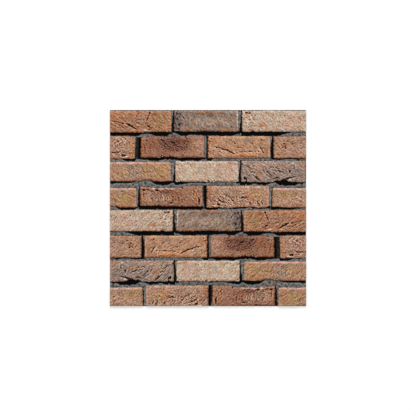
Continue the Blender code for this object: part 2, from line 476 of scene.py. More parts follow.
BRICK_3_1 = Brick(
    "ochre",
    longer=-0.8,
    joint_wider=1.3,
    top_in=1.5,
    bottom_in=1.8,
    chips=(
        Chip("bottom", 51.0, 71.0, 1.9, 6.0),
        Chip("left", -4.0, 8.0, 1.4, 4.0),
    ),
    contrast=0.92,
    pits=0.25,
    crease=0.6,
    crease_turn=60.0,
    folds=(Fold(40, 98, 22, 12, 68, 0.9), Fold(64, 99, 10, 8, 50, 0.7)),
    stains=(
        # Painted highlights along the top edge
        Stain("pink_and_highlight", 27, 82.2, 29, 2.4, 0, 0.9),
        Stain("pink_and_highlight", 72, 83.4, 20, 1.8, 0, 0.7),
        Stain("orange", 86, 85.5, 8, 2.4, 0, 0.6),
        Stain("mauve", 30, 86.6, 28, 2.4, 0, 0.7),
        Stain("mauve", 38, 99, 13, 9, 60, 0.75),
        Stain("yellow", 21, 94, 3.4, 7, 20, 0.6),
        Stain("yellow", 34, 93, 4, 4.5, 0, 0.6),
        Stain("yellow", 56, 94, 5, 7, 20, 0.6),
        Stain("yellow", 79, 95, 12, 9, 0, 0.5),
        Stain("orange", 76, 107, 14, 3, 0, 0.5),
        Stain("clay_light", 45, 104, 8, 5, 0, 0.4),
    ),
)
BRICK_3_2 = Brick(
    "sand",
    longer=-0.2,
    joint_wider=-1.0,
    prouder=0.2,
    top_in=0.2,
    bottom_in=0.8,
    chips=(
        Chip("top", 6.0, 17.0, 1.0, 2.5),
        Chip("top", 33.5, 38.0, 1.2, 1.8),
        Chip("left", -4.0, 8.0, 0.9, 5.0),
        Chip("right", -4.0, 9.0, 1.2, 4.0),
    ),
    contrast=1.0,
    pits=0.15,
    shadow=(0.8, 1.9, 4.8),
    crease=0.4,
    crease_turn=70.0,
    folds=(Fold(114, 84, 14, 4, 20, 0.5),),
    hollows=(
        Hollow(104.5, 109.6, 1.8, 1.1),
        Hollow(152.5, 110.4, 2.6, 1.1),
        Hollow(162, 110, 1.1, 0.9),
        Hollow(195, 110, 1.2, 0.9),
        Hollow(125.5, 108.5, 1.8, 1.0, 0, -0.4),
    ),
    stains=(
        # Painted highlights along the top edge
        Stain("cream_and_highlight", 105, 81, 2.4, 1.4, 0, 0.8),
        Stain("cream_and_highlight", 115, 81, 3.4, 1.4, 0, 0.8),
        Stain("cream_and_highlight", 143.5, 81, 3, 1.4, 0, 0.8),
        Stain("cream_and_highlight", 154, 82, 4.2, 1.6, 0, 0.7),
        Stain("peach_light", 128, 81, 8, 3.2, 0, 0.6),
        Stain("cream_and_highlight", 103.5, 95, 1.2, 14, 0, 0.7),
        Stain("orange", 190, 82.5, 10, 3.2, 0, 0.45),
        Stain("pink_and_highlight", 180, 95, 24, 14, 0, 0.3),
        # Painted highlight on the lump at the foot
        Stain("cream_and_highlight", 125, 108.6, 3.4, 1.6, 0, 0.8),
        Stain("cream_and_highlight", 118, 94, 16, 10, 0, 0.25),
    ),
)
BRICK_3_3 = Brick(
    "mauve",
    longer=0.6,
    prouder=-0.2,
    top_in=-0.1,
    bottom_in=0.3,
    chips=(
        Chip("top", 76.5, 82.5, 1.6, 2.4),
        Chip("bottom", 5.0, 10.0, 2.4, 2.0),
        Chip("bottom", 48.5, 66.0, 2.4, 4.0),
        Chip("bottom", 59.0, 74.5, 3.8, 3.6),
    ),
    contrast=0.9,
    crease=0.85,
    crease_turn=32.0,
    folds=(
        Fold(219, 89, 13, 8, 15, 0.8),
        Fold(262, 93, 22, 9, 20, 0.85),
        Fold(228, 104, 14, 7, 42, 0.9),
        Fold(266, 107, 22, 5, 5, 0.7),
    ),
    cracks=(
        Crack(((210, 86), (215, 89), (220, 93)), 1.3, 0.8),
        Crack(((214, 92), (220, 97), (225, 98.4)), 1.4, 0.8),
        Crack(((222.5, 101), (228, 105.6), (233, 110)), 2.2, 1.4),
        Crack(((243.5, 95), (247, 98.6), (251.5, 103.4)), 1.5, 1.0),
        Crack(((256, 87), (259, 91), (263, 92)), 1.2, 0.8),
        Crack(((247, 92), (250, 89), (255, 90)), 1.2, 0.8),
        Crack(((261, 94), (266, 96), (270.5, 97.6)), 1.6, 1.1),
        Crack(((279, 93), (279.4, 98)), 2.0, 1.5),
        Crack(((285, 86.5), (286, 92)), 1.5, 1.0),
        Crack(((253, 107.6), (258, 105.8), (264, 106.8)), 1.7, 1.2),
        Crack(((268, 108), (274, 107.6), (280, 105.6), (288, 104)), 1.9, 1.4),
        Crack(((208, 105.5), (211, 107), (212, 110)), 2.2, 1.5),
    ),
    hollows=(
        Hollow(281, 84.5, 7, 2.2, -25, -0.35),
        Hollow(288.5, 88, 2.0, 4.5, 0, -0.35),
        Hollow(279, 110, 6, 1.8, -8, -0.5),
        Hollow(246, 100, 4, 1.4, 45, -0.4),
        Hollow(234, 105.5, 4, 3.0, 45, -0.4),
    ),
    stains=(
        Stain("peach_light", 208, 81.5, 4, 2.6, 0, 0.7),
        Stain("orange", 232, 103, 5, 5, 0, 0.5),
        Stain("orange", 268, 91, 6.5, 3.2, 0, 0.5),
        Stain("orange", 301, 92, 2.4, 14, 0, 0.5),
        Stain("orange", 295, 82.5, 6, 2.6, 0, 0.5),
        # Painted highlight on the lump at the foot
        Stain("cream_and_highlight", 281, 108.5, 8, 2.2, 0, 0.15),
        Stain("peach_light", 226, 92, 15, 10, 20, 0.3),
        Stain("pink_and_highlight", 246, 84, 22, 5, 0, 0.3),
        # Painted highlight on the lump near the top
        Stain("cream_and_highlight", 281, 85, 7, 1.6, -25, 0.45),
        Stain("orange", 259, 109.6, 5, 2.0, 0, 0.5),
        Stain("blue_grey", 292, 98, 12, 8, 0, 0.4),
    ),
)
BRICK_4_1 = Brick(
    "ochre",
    longer=0.9,
    joint_wider=-0.3,
    prouder=0.1,
    top_in=2.9,
    chips=(Chip("bottom", 50.0, 75.0, 1.8, 7.0),),
    contrast=0.95,
    pits=0.3,
    crease=0.5,
    crease_turn=-30.0,
    folds=(Fold(8, 141, 12, 9, 40, 0.9), Fold(32, 140, 9, 11, 45, 0.8)),
    stains=(
        Stain("ash", 20, 134, 26, 16, 0, 0.28),
        # Painted highlight along the top edge
        Stain("pink_and_highlight", 20, 123.2, 24, 2.2, 0, 0.85),
        Stain("mauve", 22, 126, 22, 2, 0, 0.5),
        Stain("yellow", 21, 138, 12, 10, 0, 0.75),
        Stain("orange", 24, 149.5, 16, 1.8, 0, 0.7),
        Stain("orange", 34, 133, 7, 11, 0, 0.45),
        Stain("orange", 6, 132, 6, 9, 0, 0.35),
    ),
)
BRICK_4_2 = Brick(
    "red_brown",
    longer=-1.6,
    joint_wider=1.5,
    top_in=-0.2,
    bottom_in=1.6,
    chips=(
        Chip("top", -3.0, 18.0, 1.3, 4.0),
        Chip("top", 16.0, 66.3, 3.0, 0.8),
        Chip("bottom", -3.0, 34.0, 0.9, 6.0),
    ),
    contrast=0.92,
    crease=0.7,
    crease_turn=40.0,
    folds=(
        Fold(66, 127, 20, 5, 15, 1.3),
        Fold(98, 128, 16, 5, 20, 1.0),
        Fold(92, 140, 40, 9, 70, 1.0),
        Fold(134, 134, 8, 14, 80, 1.1),
    ),
    cracks=(
        Crack(((51.8, 126), (52.4, 131), (52, 136)), 1.3, 0.7),
        Crack(((138, 136.5), (138.6, 141), (138.4, 147)), 2.0, 1.3),
        Crack(((91, 145.4), (98, 144.6)), 1.8, 1.0),
    ),
    hollows=(
        Hollow(73, 125.2, 3.3, 1.9, 5, 1.8),
        Hollow(52.6, 124.6, 3.3, 1.8, 10, 1.8),
        Hollow(57.6, 123.8, 1.5, 1.1, 0, 1.2),
        Hollow(61.6, 125.4, 1.4, 1.1, 0, 1.0),
        Hollow(65, 127.6, 1.4, 1.4, 0, 0.9),
        Hollow(71, 138, 1.3, 1.3),
        Hollow(89, 138, 1.3, 1.3),
        Hollow(75, 148.6, 2.0, 1.2),
        Hollow(49.4, 136, 1.4, 10, 0, -0.4),
        Hollow(67.5, 123, 2.6, 1.2, 0, -0.5),
        Hollow(87.5, 124.6, 3.4, 1.2, 0, 0.8),
        Hollow(112.6, 121.6, 1.3, 2.2, 0, 1.6),
        Hollow(80.5, 123.6, 2.2, 1.4, 0, -0.5),
        Hollow(97, 121.8, 3.2, 1.4, 0, -0.5),
    ),
    stains=(
        Stain("orange", 52.5, 121, 5.5, 2.4, 0, 0.7),
        # Painted highlights on the crests along the top edge
        Stain("cream_and_highlight", 67.5, 122.8, 3.4, 1.6, 0, 0.75),
        Stain("pink_and_highlight", 84, 123.4, 10, 1.8, 0, 0.8),
        Stain("cream_and_highlight", 96.5, 122.2, 3.6, 1.6, 0, 0.75),
        Stain("orange", 49.6, 138, 1.6, 9, 0, 0.5),
        Stain("peach_light", 60, 137, 6, 9, 0, 0.4),
        Stain("plum", 88, 127, 14, 3.4, 0, 0.6),
        Stain("ash", 71, 137, 9, 7, 0, 0.5),
        Stain("rust", 106, 135, 16, 8, 0, 0.4),
        Stain("clay_light", 128, 132, 13, 12, 0, 0.35),
        Stain("orange", 136, 136, 8, 13, 0, 0.4),
        Stain("peach_light", 83, 138, 12, 6, 0, 0.35),
    ),
)
BRICK_4_3 = Brick(
    "fawn",
    longer=-1.5,
    joint_wider=-0.5,
    prouder=0.1,
    top_in=-0.3,
    bottom_in=-0.4,
    chips=(
        Chip("bottom", 16.0, 21.5, 1.5, 2.2),
        Chip("bottom", 46.0, 78.0, 1.0, 8.0),
        Chip("bottom", 90.0, 104.0, 3.0, 9.0),
    ),
    contrast=0.88,
    shadow=(6.2, 6.4, 4.0),
    crease=0.9,
    crease_turn=-42.0,
    folds=(
        Fold(168, 134, 18, 12, 50, 0.8),
        Fold(182, 141, 30, 9, 40, 1.4),
        Fold(207, 137, 12, 7, -30, 1.1),
        Fold(228, 145, 16, 6, 70, 1.2),
    ),
    cracks=(
        Crack(((169, 140.5), (174, 142.6), (179, 144.6)), 1.8, 1.3),
        Crack(((188, 138), (191.5, 142)), 1.4, 1.0),
        Crack(((203, 137.6), (206, 135.8), (211, 137)), 1.7, 1.2),
        Crack(((216, 143), (219, 147.4)), 1.7, 1.2),
        Crack(((229, 142.6), (230, 146.5)), 1.6, 1.1),
        Crack(((235, 142.6), (236.4, 147)), 1.6, 1.1),
    ),
    hollows=(
        Hollow(168.6, 147, 3.2, 2.0, 20, 1.7),
        Hollow(184.4, 140.6, 1.3, 1.2),
        Hollow(162, 149.5, 4.2, 1.2, 0, -0.6),
    ),
    stains=(
        Stain("orange", 155, 124, 5, 7, 0, 0.75),
        Stain("orange", 218, 134, 10, 12, 0, 0.4),
        # Painted highlights along the top edge
        Stain("pink_and_highlight", 213.5, 120, 3, 1.5, 0, 0.8),
        Stain("cream_and_highlight", 234, 120, 11, 1.2, 0, 0.6),
        Stain("orange", 162.5, 142.5, 3, 3, 0, 0.6),
        # Painted highlight on the lump at the foot
        Stain("cream_and_highlight", 163.4, 149.6, 3.6, 1.3, 0, 0.9),
        Stain("rust", 154, 134, 4, 8, 0, 0.5),
        Stain("yellow", 228, 134, 12, 8, 0, 0.4),
        Stain("ash", 190, 131, 16, 6, 0, 0.3),
    ),
)
BRICK_4_4 = Brick(
    "ochre",
    top_in=2.8,
    chips=(Chip("bottom", -3.0, 15.0, 1.2, 10.0),),
    contrast=0.95,
    pits=0.3,
    shadow=(0.6, 1.6, 1.6),
    crease=0.5,
    crease_turn=35.0,
    folds=(Fold(290, 141, 16, 10, 55, 0.9), Fold(262, 130, 8, 8, 30, 0.6)),
    hollows=(Hollow(297, 136, 1.8, 1.2, 0, 0.9), Hollow(257.5, 132, 1.3, 1.0)),
    stains=(
        Stain("mauve", 280, 136, 34, 20, 0, 0.22),
        # Painted highlight along the top edge
        Stain("pink_and_highlight", 279, 123.2, 27, 2.2, 0, 0.9),
        Stain("olive", 272, 131, 16, 6, 0, 0.3),
        Stain("yellow", 272, 131, 18, 6, 0, 0.6),
        Stain("pink_and_highlight", 262, 142, 8, 6, 0, 0.35),
        Stain("mauve", 285, 126, 18, 2.4, 0, 0.6),
        Stain("pink_and_highlight", 288, 140, 18, 9, 0, 0.35),
    ),
)

PATTERN = (
    Course(
        start=-3.0,
        lower=0.0,
        taller=-0.1,
        shadow=(
            (0, 4.8), (45, 4.7), (51, 1.6), (60, 2.0), (72, 5.2), (88, 7.2), (92, 3.0),
            (98, 1.8), (101, 2.6), (111, 6.4), (127, 4.0), (150, 6.4), (162, 5.2), (174, 6.5),
            (190, 5.8), (198, 3.2), (203, 6.0), (250, 6.8), (264, 5.6), (273, 3.0),
            (286, -1.4), (305, -1.6),
        ),
        bricks=(BRICK_1_1, BRICK_1_2, BRICK_1_3),
    ),
    Course(
        start=-57.8,
        lower=0.8,
        taller=0.6,
        shadow=(
            (0, -1.0), (12, 0.8), (17, -0.4), (22, 3.0), (32, 3.0), (38, 3.2), (42, 1.2),
            (56, 2.4), (62, 4.3), (74, 4.3), (87, 3.2), (101, 4.0), (107, 3.2), (113, 4.8),
            (128, 3.3), (137, 4.8), (144, 2.6), (156, 3.6), (165, -1.8), (204, -1.4),
            (213, -0.5), (240, -1.6), (250, -0.5), (254, 2.0), (262, 2.0), (268, 1.2),
            (286, 1.0), (294, 2.4), (303, -1.2),
        ),
        bricks=(BRICK_2_1, BRICK_2_2, BRICK_2_3, BRICK_2_4),
    ),
    Course(
        start=-3.0,
        lower=0.8,
        taller=-0.1,
        shadow=(
            (0, 3.0), (8, 2.8), (13, 2.4), (34, 2.2), (41, -0.6), (51, -1.6), (62, -0.6),
            (66, 2.0), (72, 4.5), (88, 6.0), (98, 2.4), (102, 4.4), (108, 4.3), (117, 2.6),
            (127, 0.6), (143, 1.0), (148, 1.6), (158, -1.0), (167, -1.6), (174, 0.2),
            (183, -1.4), (193, -1.2), (201, 3.8), (212, 5.4), (224, 2.0), (240, 4.6),
            (252, 0.4), (257, 2.8), (262, 6.2), (267, 7.6), (273, 9.4), (279, 5.4), (288, 4.8),
            (293, 2.6), (299, 2.4), (304, -1.0),
        ),
        bricks=(BRICK_3_1, BRICK_3_2, BRICK_3_3),
    ),
    Course(
        start=-57.8,
        lower=1.25,
        taller=-0.3,
        shadow=(
            (0, -1.2), (7, 0.0), (12, 2.4), (17, 3.4), (37, 3.6), (42, 0.4), (46, 4.8),
            (70, 5.2), (90, 4.4), (142, 4.5), (147, 3.0), (157, 3.0), (167, 2.8), (172, 1.8),
            (182, 0.4), (192, 1.8), (202, 1.7), (207, 2.6), (217, -0.6), (222, 2.6),
            (227, 1.5), (242, 0.4), (247, 2.8), (252, 4.2), (262, 3.8), (267, 3.0),
            (287, 2.6), (296, 0.8), (302, -1.4),
        ),
        bricks=(BRICK_4_1, BRICK_4_2, BRICK_4_3, BRICK_4_4),
    ),
)

# The colours by name, each with its label. The clays and the mortar were fitted to the mean
# colours of the photo's bricks and joints, and the stains were chosen one by one.
CLAYS = {
    "terracotta": ("Terracotta", (0.399, 0.195, 0.116)),
    "smoke": ("Smoke grey", (0.295, 0.203, 0.156)),
    "pink_tan": ("Pink tan", (0.532, 0.388, 0.291)),
    "clay": ("Clay", (0.434, 0.243, 0.159)),
    "fawn": ("Fawn", (0.462, 0.268, 0.182)),
    "umber": ("Umber", (0.318, 0.147, 0.089)),
    "peach": ("Peach", (0.474, 0.259, 0.158)),
    "ochre": ("Ochre", (0.444, 0.253, 0.156)),
    "sand": ("Sand", (0.545, 0.406, 0.302)),
    "mauve": ("Mauve", (0.338, 0.238, 0.192)),
    "red_brown": ("Red brown", (0.347, 0.171, 0.108)),
    "clay_light": ("Light clay", (0.420, 0.240, 0.155)),
    "peach_light": ("Light peach", (0.560, 0.340, 0.220)),
    "orange": ("Orange", (0.470, 0.190, 0.080)),
    "rust": ("Rust", (0.300, 0.100, 0.052)),
    "yellow": ("Ochre yellow", (0.470, 0.272, 0.112)),
    "olive": ("Olive", (0.270, 0.175, 0.092)),
    # Cream stains, and painted highlights on edges and lumps
    "cream_and_highlight": ("Cream", (0.660, 0.490, 0.350)),
    # Pink stains, and painted highlights along edges
    "pink_and_highlight": ("Pink", (0.610, 0.345, 0.262)),
    "ash": ("Ash", (0.260, 0.190, 0.150)),
    "blue_grey": ("Blue grey", (0.190, 0.155, 0.140)),
    "plum": ("Plum", (0.125, 0.050, 0.040)),
    "soot": ("Soot", (0.070, 0.050, 0.042)),
    "mortar": ("Mortar", (0.151, 0.140, 0.130)),
    # Painted shade inside the cracks, pits and tears
    "crack": ("Crack", (0.020, 0.009, 0.006)),
    "shadow": ("Printed shadow", (0.0046, 0.0036, 0.0031)),
    "compound": ("Compound", (0.300, 0.300, 0.290)),
}


def size(name, description, default):
    """A length that a user would change."""
    return FloatProperty(name=name, description=description, default=default * MM, unit="LENGTH")


def share(name, description, default):
    """A plain number that a user would change."""
    return FloatProperty(name=name, description=description, default=default)


def colour(name, description, default):
    """A colour that a user would change."""
    return FloatVectorProperty(
        name=name, description=description, default=default, subtype="COLOR", min=0.0, max=1.0
    )


class TileSizes(bpy.types.PropertyGroup):
    """Sizes of the bricks, the joints and their relief."""

    brick_length: size("Brick length", "Length of a plain brick's face", 98.4)
    brick_height: size("Brick height", "Height of a plain brick's face", 32.9)
    brick_relief: size("Brick relief", "How far a brick stands out of the bed", 2.8)
    brick_draft: size("Brick draft", "How far a brick's wall leans in", 0.4)
    arris_radius: size("Arris radius", "Rounding of a brick's worn edges", 0.8)
    corner_radius: size("Corner radius", "Rounding of a brick's corners in plan", 1.4)
    bed_thickness: size("Bed thickness", "Thickness of the sheet under the bricks", 2.2)
    head_joint: size("Head joint", "Width of the upright joints", 5.5)
    bed_joint: size("Bed joint", "Height of the level joints", 5.75)
    top_strip: size("Top strip", "Bed above the first course", 1.6)
    mirror_shift: size("Mirror shift", "How far the mirrored half stands to the left", 1.6)
    wander_depth: size("Wander", "Unevenness of a brick's outline", 0.45)
    mesh_cell: size("Mesh cell", "Size of a mesh square on the brick faces", 0.6)


class TileRelief(bpy.types.PropertyGroup):
    """Depths of the fine relief."""

    face_drop: size("Face drop", "How far the mean face lies under the highest crests", 0.30)
    swell: size("Swell", "Depth of the slow waves of a face", 0.14)
    lump: size("Lumps", "Depth of the hand-pressed lumps", 0.14)
    wrinkle: size("Wrinkles", "Depth of the short strokes all over a face", 0.26)
    fold: size("Folds", "Depth of the torn folds", 0.45)
    grain: size("Grain", "Depth of the sand grain", 0.07)
    pit: size("Pits", "Depth of the scattered pits", 0.50)
    mortar_lump: size("Mortar lumps", "Height of the lumps in the mortar", 0.35)


# Noises that are summed, each by the length of its waves in mm, its height and its seed
RAGGED_WAVES = ((2.3, 1.0, 0.0), (4.6, 1.0, 3.0))
STROKE_WAVES = ((3.0, 1.7, 0.0), (1.7, 1.3, 1.0))
SHADOW_WAVES = ((4.2, 1.1, 70.0), (1.7, 0.8, 71.0))
MORTAR_WAVES = ((6.0, 0.6, 80.0), (2.4, 0.5, 81.0), (1.1, 0.3, 82.0))

# A brick's outline: its slow waves by length, share and turn, and how it bends the mesh
WANDER_WAVES = ((67.0, 0.40, 5.1), (26.0, 0.35, 8.3), (11.0, 0.25, 12.7))
SIDE_SEEDS = {"bottom": 0.0, "right": 0.25, "top": 0.5, "left": 0.75}
SIDE_SEED_GAIN = 10.0
EDGE_PULL = 8.0
RAGGED_PULL = 2.5
RAGGED_DEPTH = 0.36
RAGGED_CHIPS = 0.5

# The swells, lumps and grain of a face
SWELL_STEP = 24.0
LUMP_STEP = 6.5
LUMP_SEED = 20.0
GRAIN_STEP = 1.4
GRAIN_SEED = 30.0

# The way the clay was dragged, with its strokes and tears
FLOW_BEND = 2.4
FLOW_STEP = 10.0
FLOW_SEED_ACROSS = 40.0
FLOW_SEED_DOWN = 41.0
STROKE_STRETCH = 1.45
STROKE_SEED = 5.0
TEAR_STRETCH = 1.7
TEAR_STEP = 4.0
TEAR_SEED = 2.0
TEAR_WIDTH = 0.17
TORN_STRETCH = 1.5
TORN_STEP = 4.6
TORN_SEED = 3.0
TORN_MORE = 0.06
TORN_SOFT = 0.26
# How dark the painted shade in a tear is
TORN_SHADE = 0.65
TORN_SHARE = 0.6
TORN_PATCH_STEP = 15.0
TORN_PATCH_SEED = 50.0
TORN_PATCH_GAIN = 2.2

# The patches of folds
FOLD_FULL = 1.6
FOLD_FADE = 1.2
FOLD_SEED = 60.0
FOLD_SEED_STEP = 5.0
FOLD_ROUGHER = 0.9
FOLD_SMOOTHER = 0.3

# The scattered pits
PIT_STEP = 5.6
PIT_BEND = 1.1
PIT_BEND_STEP = 2.4
PIT_SEED = 44.0
PIT_LAYER = 0.5
PIT_PICK = 7.31
PIT_SIZE_PICK = 3.17
PIT_SMALLEST = 0.16
PIT_LARGER = 0.16
PIT_MORE = 0.2
PIT_SOFT = 0.4
PIT_FULL = 1.3
# How dark the painted shade in a pit is
PIT_SHADE = 0.8

# The cracks and hollows that the drawing names
CRACK_WAVER_STEP = 4.1
CRACK_WAVER_SEEDS = (4.0, 5.0)
CRACK_RAGGED = 1.4
CRACK_RAGGED_STEP = 2.6
CRACK_RAGGED_SEED = 3.0
CRACK_THINNEST = 0.2
CRACK_FULL = 1.15
MARK_REACH = 1.25
HOLLOW_STEEP = 1.25
# How deep a mark is before its painted shade begins
HOLLOW_SHADE_FROM = 0.2

# The printed light and shade of a face: its way, its gains, and the fall towards an edge
PRINT_LIGHT = Vector((0.62, -0.78))
PRINT_GAIN = 2.6
CAVITY_GAIN = 1.8
BED_PRINT_GAIN = 2.5
BED_CAVITY_GAIN = 1.5
LEAST_RUN = 0.01
CREST_RING = ((3, 0), (-3, 0), (0, 3), (0, -3))
EDGE_FALL = 0.30
EDGE_FALL_REACH = 1.1

# The worn arris and the walls below it
ARRIS_RINGS = 3
ARRIS_WEAR = 0.45
ARRIS_WEAR_STEP = 3.1
ARRIS_TURN = math.radians(90.0)
ARRIS_ARC = 1.57
WAY_REACH = 3
WALL_RINGS = 4
WALL_ROUGH = 0.16
WALL_ROUGH_STEP = 1.7
WALL_SHADE = 0.35
WALL_SHADE_GAIN = 0.9
FOOT_WAY = -0.5
FOOT_LIT = 1.4
FOOT_FADE = 1.6
ROOT_SHARE = 0.5

# The die-cut edges, and how the faces are laid out flat
CUT_SLACK = 0.0001
CUT_NEAR = 0.1
CUT_RUN = 110.0
CUT_ROW = 8.0
EDGE_ROWS = {"right": 4.0, "left": 8.0, "top": 12.0, "bottom": 16.0}
FOOT_SCALE = 0.1
BACK_SCALE = 0.2
BACK_GAP = 3.0
UV_MARGIN = 1.0
SQUARE_ON = 0.99
SHARP_ANGLE = math.radians(62.0)

# The two halves of the tile, and where the second takes over
HALVES = ("upper", "lower")
SEAM_AHEAD = 0.6

# How far round a brick its printed shadow is looked for
JOINT_WIDEST = 12.0
UNDER_PAST_SIDE = 2.0
BESIDE_ABOVE = 1.0
BESIDE_BELOW = 2.5

# How the printed shadow fades
SIDE_PLACES = (0.0, 0.5, 1.0)
SHADOW_MORE = 0.9
UNDER_SOFT = 1.5
SIDE_RAGGED = 0.7
SIDE_SOFT = 1.1
SIDE_SOFTER = 0.45
FAR_LIGHTER = 0.15
FAR_FROM = 3.0
FAR_RUN = 3.0

# The mortar bed
BED_INSET = 0.05
BED_UNDER = 1.5
BED_LIFT = 0.45
BED_SHADE_DROP = 0.35
TUCK_FROM = 0.2
TUCK_RUN = 0.8
TUCK_DROP = 0.6
HEAD_LIT = 0.3
HEAD_FULL = 1.4
HEAD_REACH = 6.0
EDGE_CELLS = 3

# The noises of the materials, each by its scale, detail and roughness
BRICK_MOTTLE = (0.11, 2.0, 0.55)
BRICK_SPECKLE = (0.42, 2.0, 0.6)
BRICK_GRAIN = (1.5, 2.0, 0.6)
BED_MOTTLE = (0.16, 3.0, 0.55)
BED_SPECKLE = (0.28, 1.5, 0.55)
BED_GRAIN = (2.2, 2.0, 0.6)
COMPOUND_MOTTLE = (0.35, 4.0, 0.55)

# What each noise, the printed light and the painted shade in hollows do to a colour's tone
MOTTLE_TONE = 1.25
SPECKLE_TONE = 1.9
GRAIN_TONE = 0.8
LIT_TONE = 1.15
HOLLOW_SHADE_TONE = 0.2
BED_MOTTLE_TONE = 1.6
BED_SPECKLE_TONE = 5.0
BED_GRAIN_TONE = 1.0
BED_LIT_TONE = 1.25
DARK_GAIN = (0.38, 0.21, 0.14)
LIGHT_GAIN = (1.75, 2.05, 2.3)

# The stains: their soft rims and their uneven outlines
STAIN_OUTER = 1.25
STAIN_INNER = 0.55
STAIN_DEEP = 10.0
STAIN_PATCHY = 1.6
STAIN_WOBBLE = 5.0
SMALL_WOBBLE = 2.0
SMALL_STAIN = 2.7
WOBBLE_SCALE = 0.22
WOBBLE_DETAIL = 3.0

# The slow drifts of hue
DRIFT_DETAIL = 3.0
DRIFT_ROUGH = 0.6
DRIFT_GAIN = 3.2
WARM_SCALE = 0.15
WARM_GAIN = (1.10, 0.95, 0.80)
COOL_GAIN = (0.92, 1.02, 1.12)
ROSE_SCALE = 0.3
ROSE_GAIN = (1.065, 0.90, 1.075)
GREEN_GAIN = (0.935, 1.10, 0.91)

# The grey compound, and where it shows
COMPOUND_GAIN = 1.6
COMPOUND_LIGHTER = 1.25
CUT_MARGIN = 0.06
BACK_MARGIN = 0.05

# The matt finish of the tile
BUMP_STRENGTH = 0.8
TILE_SHINE = 0.02

# The sockets of a Mix node that is set to colours
MIX_FACTOR = 0
MIX_FIRST = 6
MIX_SECOND = 7
MIX_RESULT = 2

# The stage
FLOOR_REACH = 4.0
FLOOR_GAP = 0.0002
FLOOR_GREY = (0.8, 0.8, 0.8, 1.0)
FLOOR_ROUGH = 0.9
FLOOR_SHINE = 0.1
FLOOR_LIFT = 0.34
WHITE = (1.0, 1.0, 1.0, 1.0)
LAMP_SIZE = 1.6
LAMP_PLACE = Vector((0.0, 1.3, 1.9))
CLIP_TIMES = 4


@dataclass(frozen=True)
class Finish:
    """How rough a surface is, and the bump of its speckle and grain."""

    rough: float
    rough_gain: float
    speckle: float
    bump: float


BRICK_FINISH = Finish(rough=0.8, rough_gain=0.25, speckle=0.6, bump=0.0004)
BED_FINISH = Finish(rough=0.86, rough_gain=0.2, speckle=0.7, bump=0.0005)


@dataclass(frozen=True)
class Laid:
    """A brick in its place on the drawing, in millimetres."""

    name: str
    course: Course
    brick: Brick
    seed: int
    left: float
    top: float
    length: float
    height: float


def in_mm(value):
    """A property's length, in the drawing's millimetres."""
    return value / MM


def smooth_step(value):
    """Eases a share from nought to one."""
    value = min(1.0, max(0.0, value))
    return value * value * (3.0 - 2.0 * value)


def lay_out(sizes):
    """The bricks of the pattern, each in its place on the drawing."""
    laid = []
    pitch = in_mm(sizes.brick_height + sizes.bed_joint)
    for row, course in enumerate(PATTERN):
        left = course.start
        top = in_mm(sizes.top_strip) + row * pitch + course.lower
        for number, brick in enumerate(course.bricks):
            length = in_mm(sizes.brick_length) + brick.longer
            height = in_mm(sizes.brick_height) + course.taller - brick.top_in - brick.bottom_in
            name = f"{row + 1}_{number + 1}"
            seed = row * len(PATTERN) + number
            high = top + brick.top_in
            laid.append(Laid(name, course, brick, seed, left, high, length, height))
            left += length + in_mm(sizes.head_joint) + brick.joint_wider
    return laid


def wander(along, seed, depth):
    """A smooth uneven line along a brick's side, other for each seed."""
    line = 0.0
    for length, part, turn in WANDER_WAVES:
        line += part * math.sin(math.tau * along / length + turn * seed)
    return line * depth


def chip_depth(chips, side, along):
    """How far a side is broken back at a place along it."""
    depth = 0.0
    for chip in chips:
        if chip.side == side:
            inside = min(along - chip.start, chip.end - along)
            depth = max(depth, chip.depth * min(1.0, inside / chip.slope))
    return depth


def noise_at(across, down, step, seed=0.0):
    """Smooth noise from about -1 to 1 with waves of about the step."""
    return noise.noise(Vector((across / step, down / step, seed)))


def summed_noise(waves, across, down, seed=0.0):
    """The sum of several noises, each with its own waves, height and seed."""
    total = 0.0
    for step, height, own_seed in waves:
        total += height * noise_at(across, down, step, seed + own_seed)
    return total


def turned(across, down, angle):
    """A place on the drawing, in axes that are turned by an angle in degrees."""
    cosine = math.cos(math.radians(angle))
    sine = math.sin(math.radians(angle))
    return across * cosine + down * sine, down * cosine - across * sine


def line_distance(place, line):
    """How far a place lies from a line through several places, and how far along it."""
    nearest = math.inf
    share_along = 0.0
    for number in range(len(line) - 1):
        start = Vector(line[number])
        run = Vector(line[number + 1]) - start
        share_here = min(1.0, max(0.0, (place - start).dot(run) / run.length_squared))
        distance = (place - start - run * share_here).length
        if distance < nearest:
            nearest = distance
            share_along = (number + share_here) / (len(line) - 1)
    return nearest, share_along


def clay_flow(across, down, angle, seed):
    """A place in axes along and over the way that the clay was dragged, which wavers."""
    bent_across = FLOW_BEND * noise_at(across, down, FLOW_STEP, seed + FLOW_SEED_ACROSS)
    bent_down = FLOW_BEND * noise_at(across, down, FLOW_STEP, seed + FLOW_SEED_DOWN)
    return turned(across + bent_across, down + bent_down, angle)


def strokes(along, over, seed):
    """Short sunk and raised strokes along the clay's way, above and below nought."""
    return summed_noise(STROKE_WAVES, along / STROKE_STRETCH, over, seed)


def tears(along, over, seed):
    """Thin curved tears along the clay's way, from nought to one."""
    line = noise_at(along / TEAR_STRETCH, over, TEAR_STEP, seed + TEAR_SEED)
    here = noise_at(along / TORN_STRETCH, over, TORN_STEP, seed + TORN_SEED)
    thin = smooth_step(1.0 - abs(line) / TEAR_WIDTH)
    return thin * smooth_step((here + TORN_MORE) / TORN_SOFT)


def fold_mask(across, down, fold):
    """Where a patch of folds reaches, from nought to one."""
    far = math.hypot((across - fold.across) / fold.long, (down - fold.down) / fold.wide)
    return smooth_step(FOLD_FULL - FOLD_FADE * far)


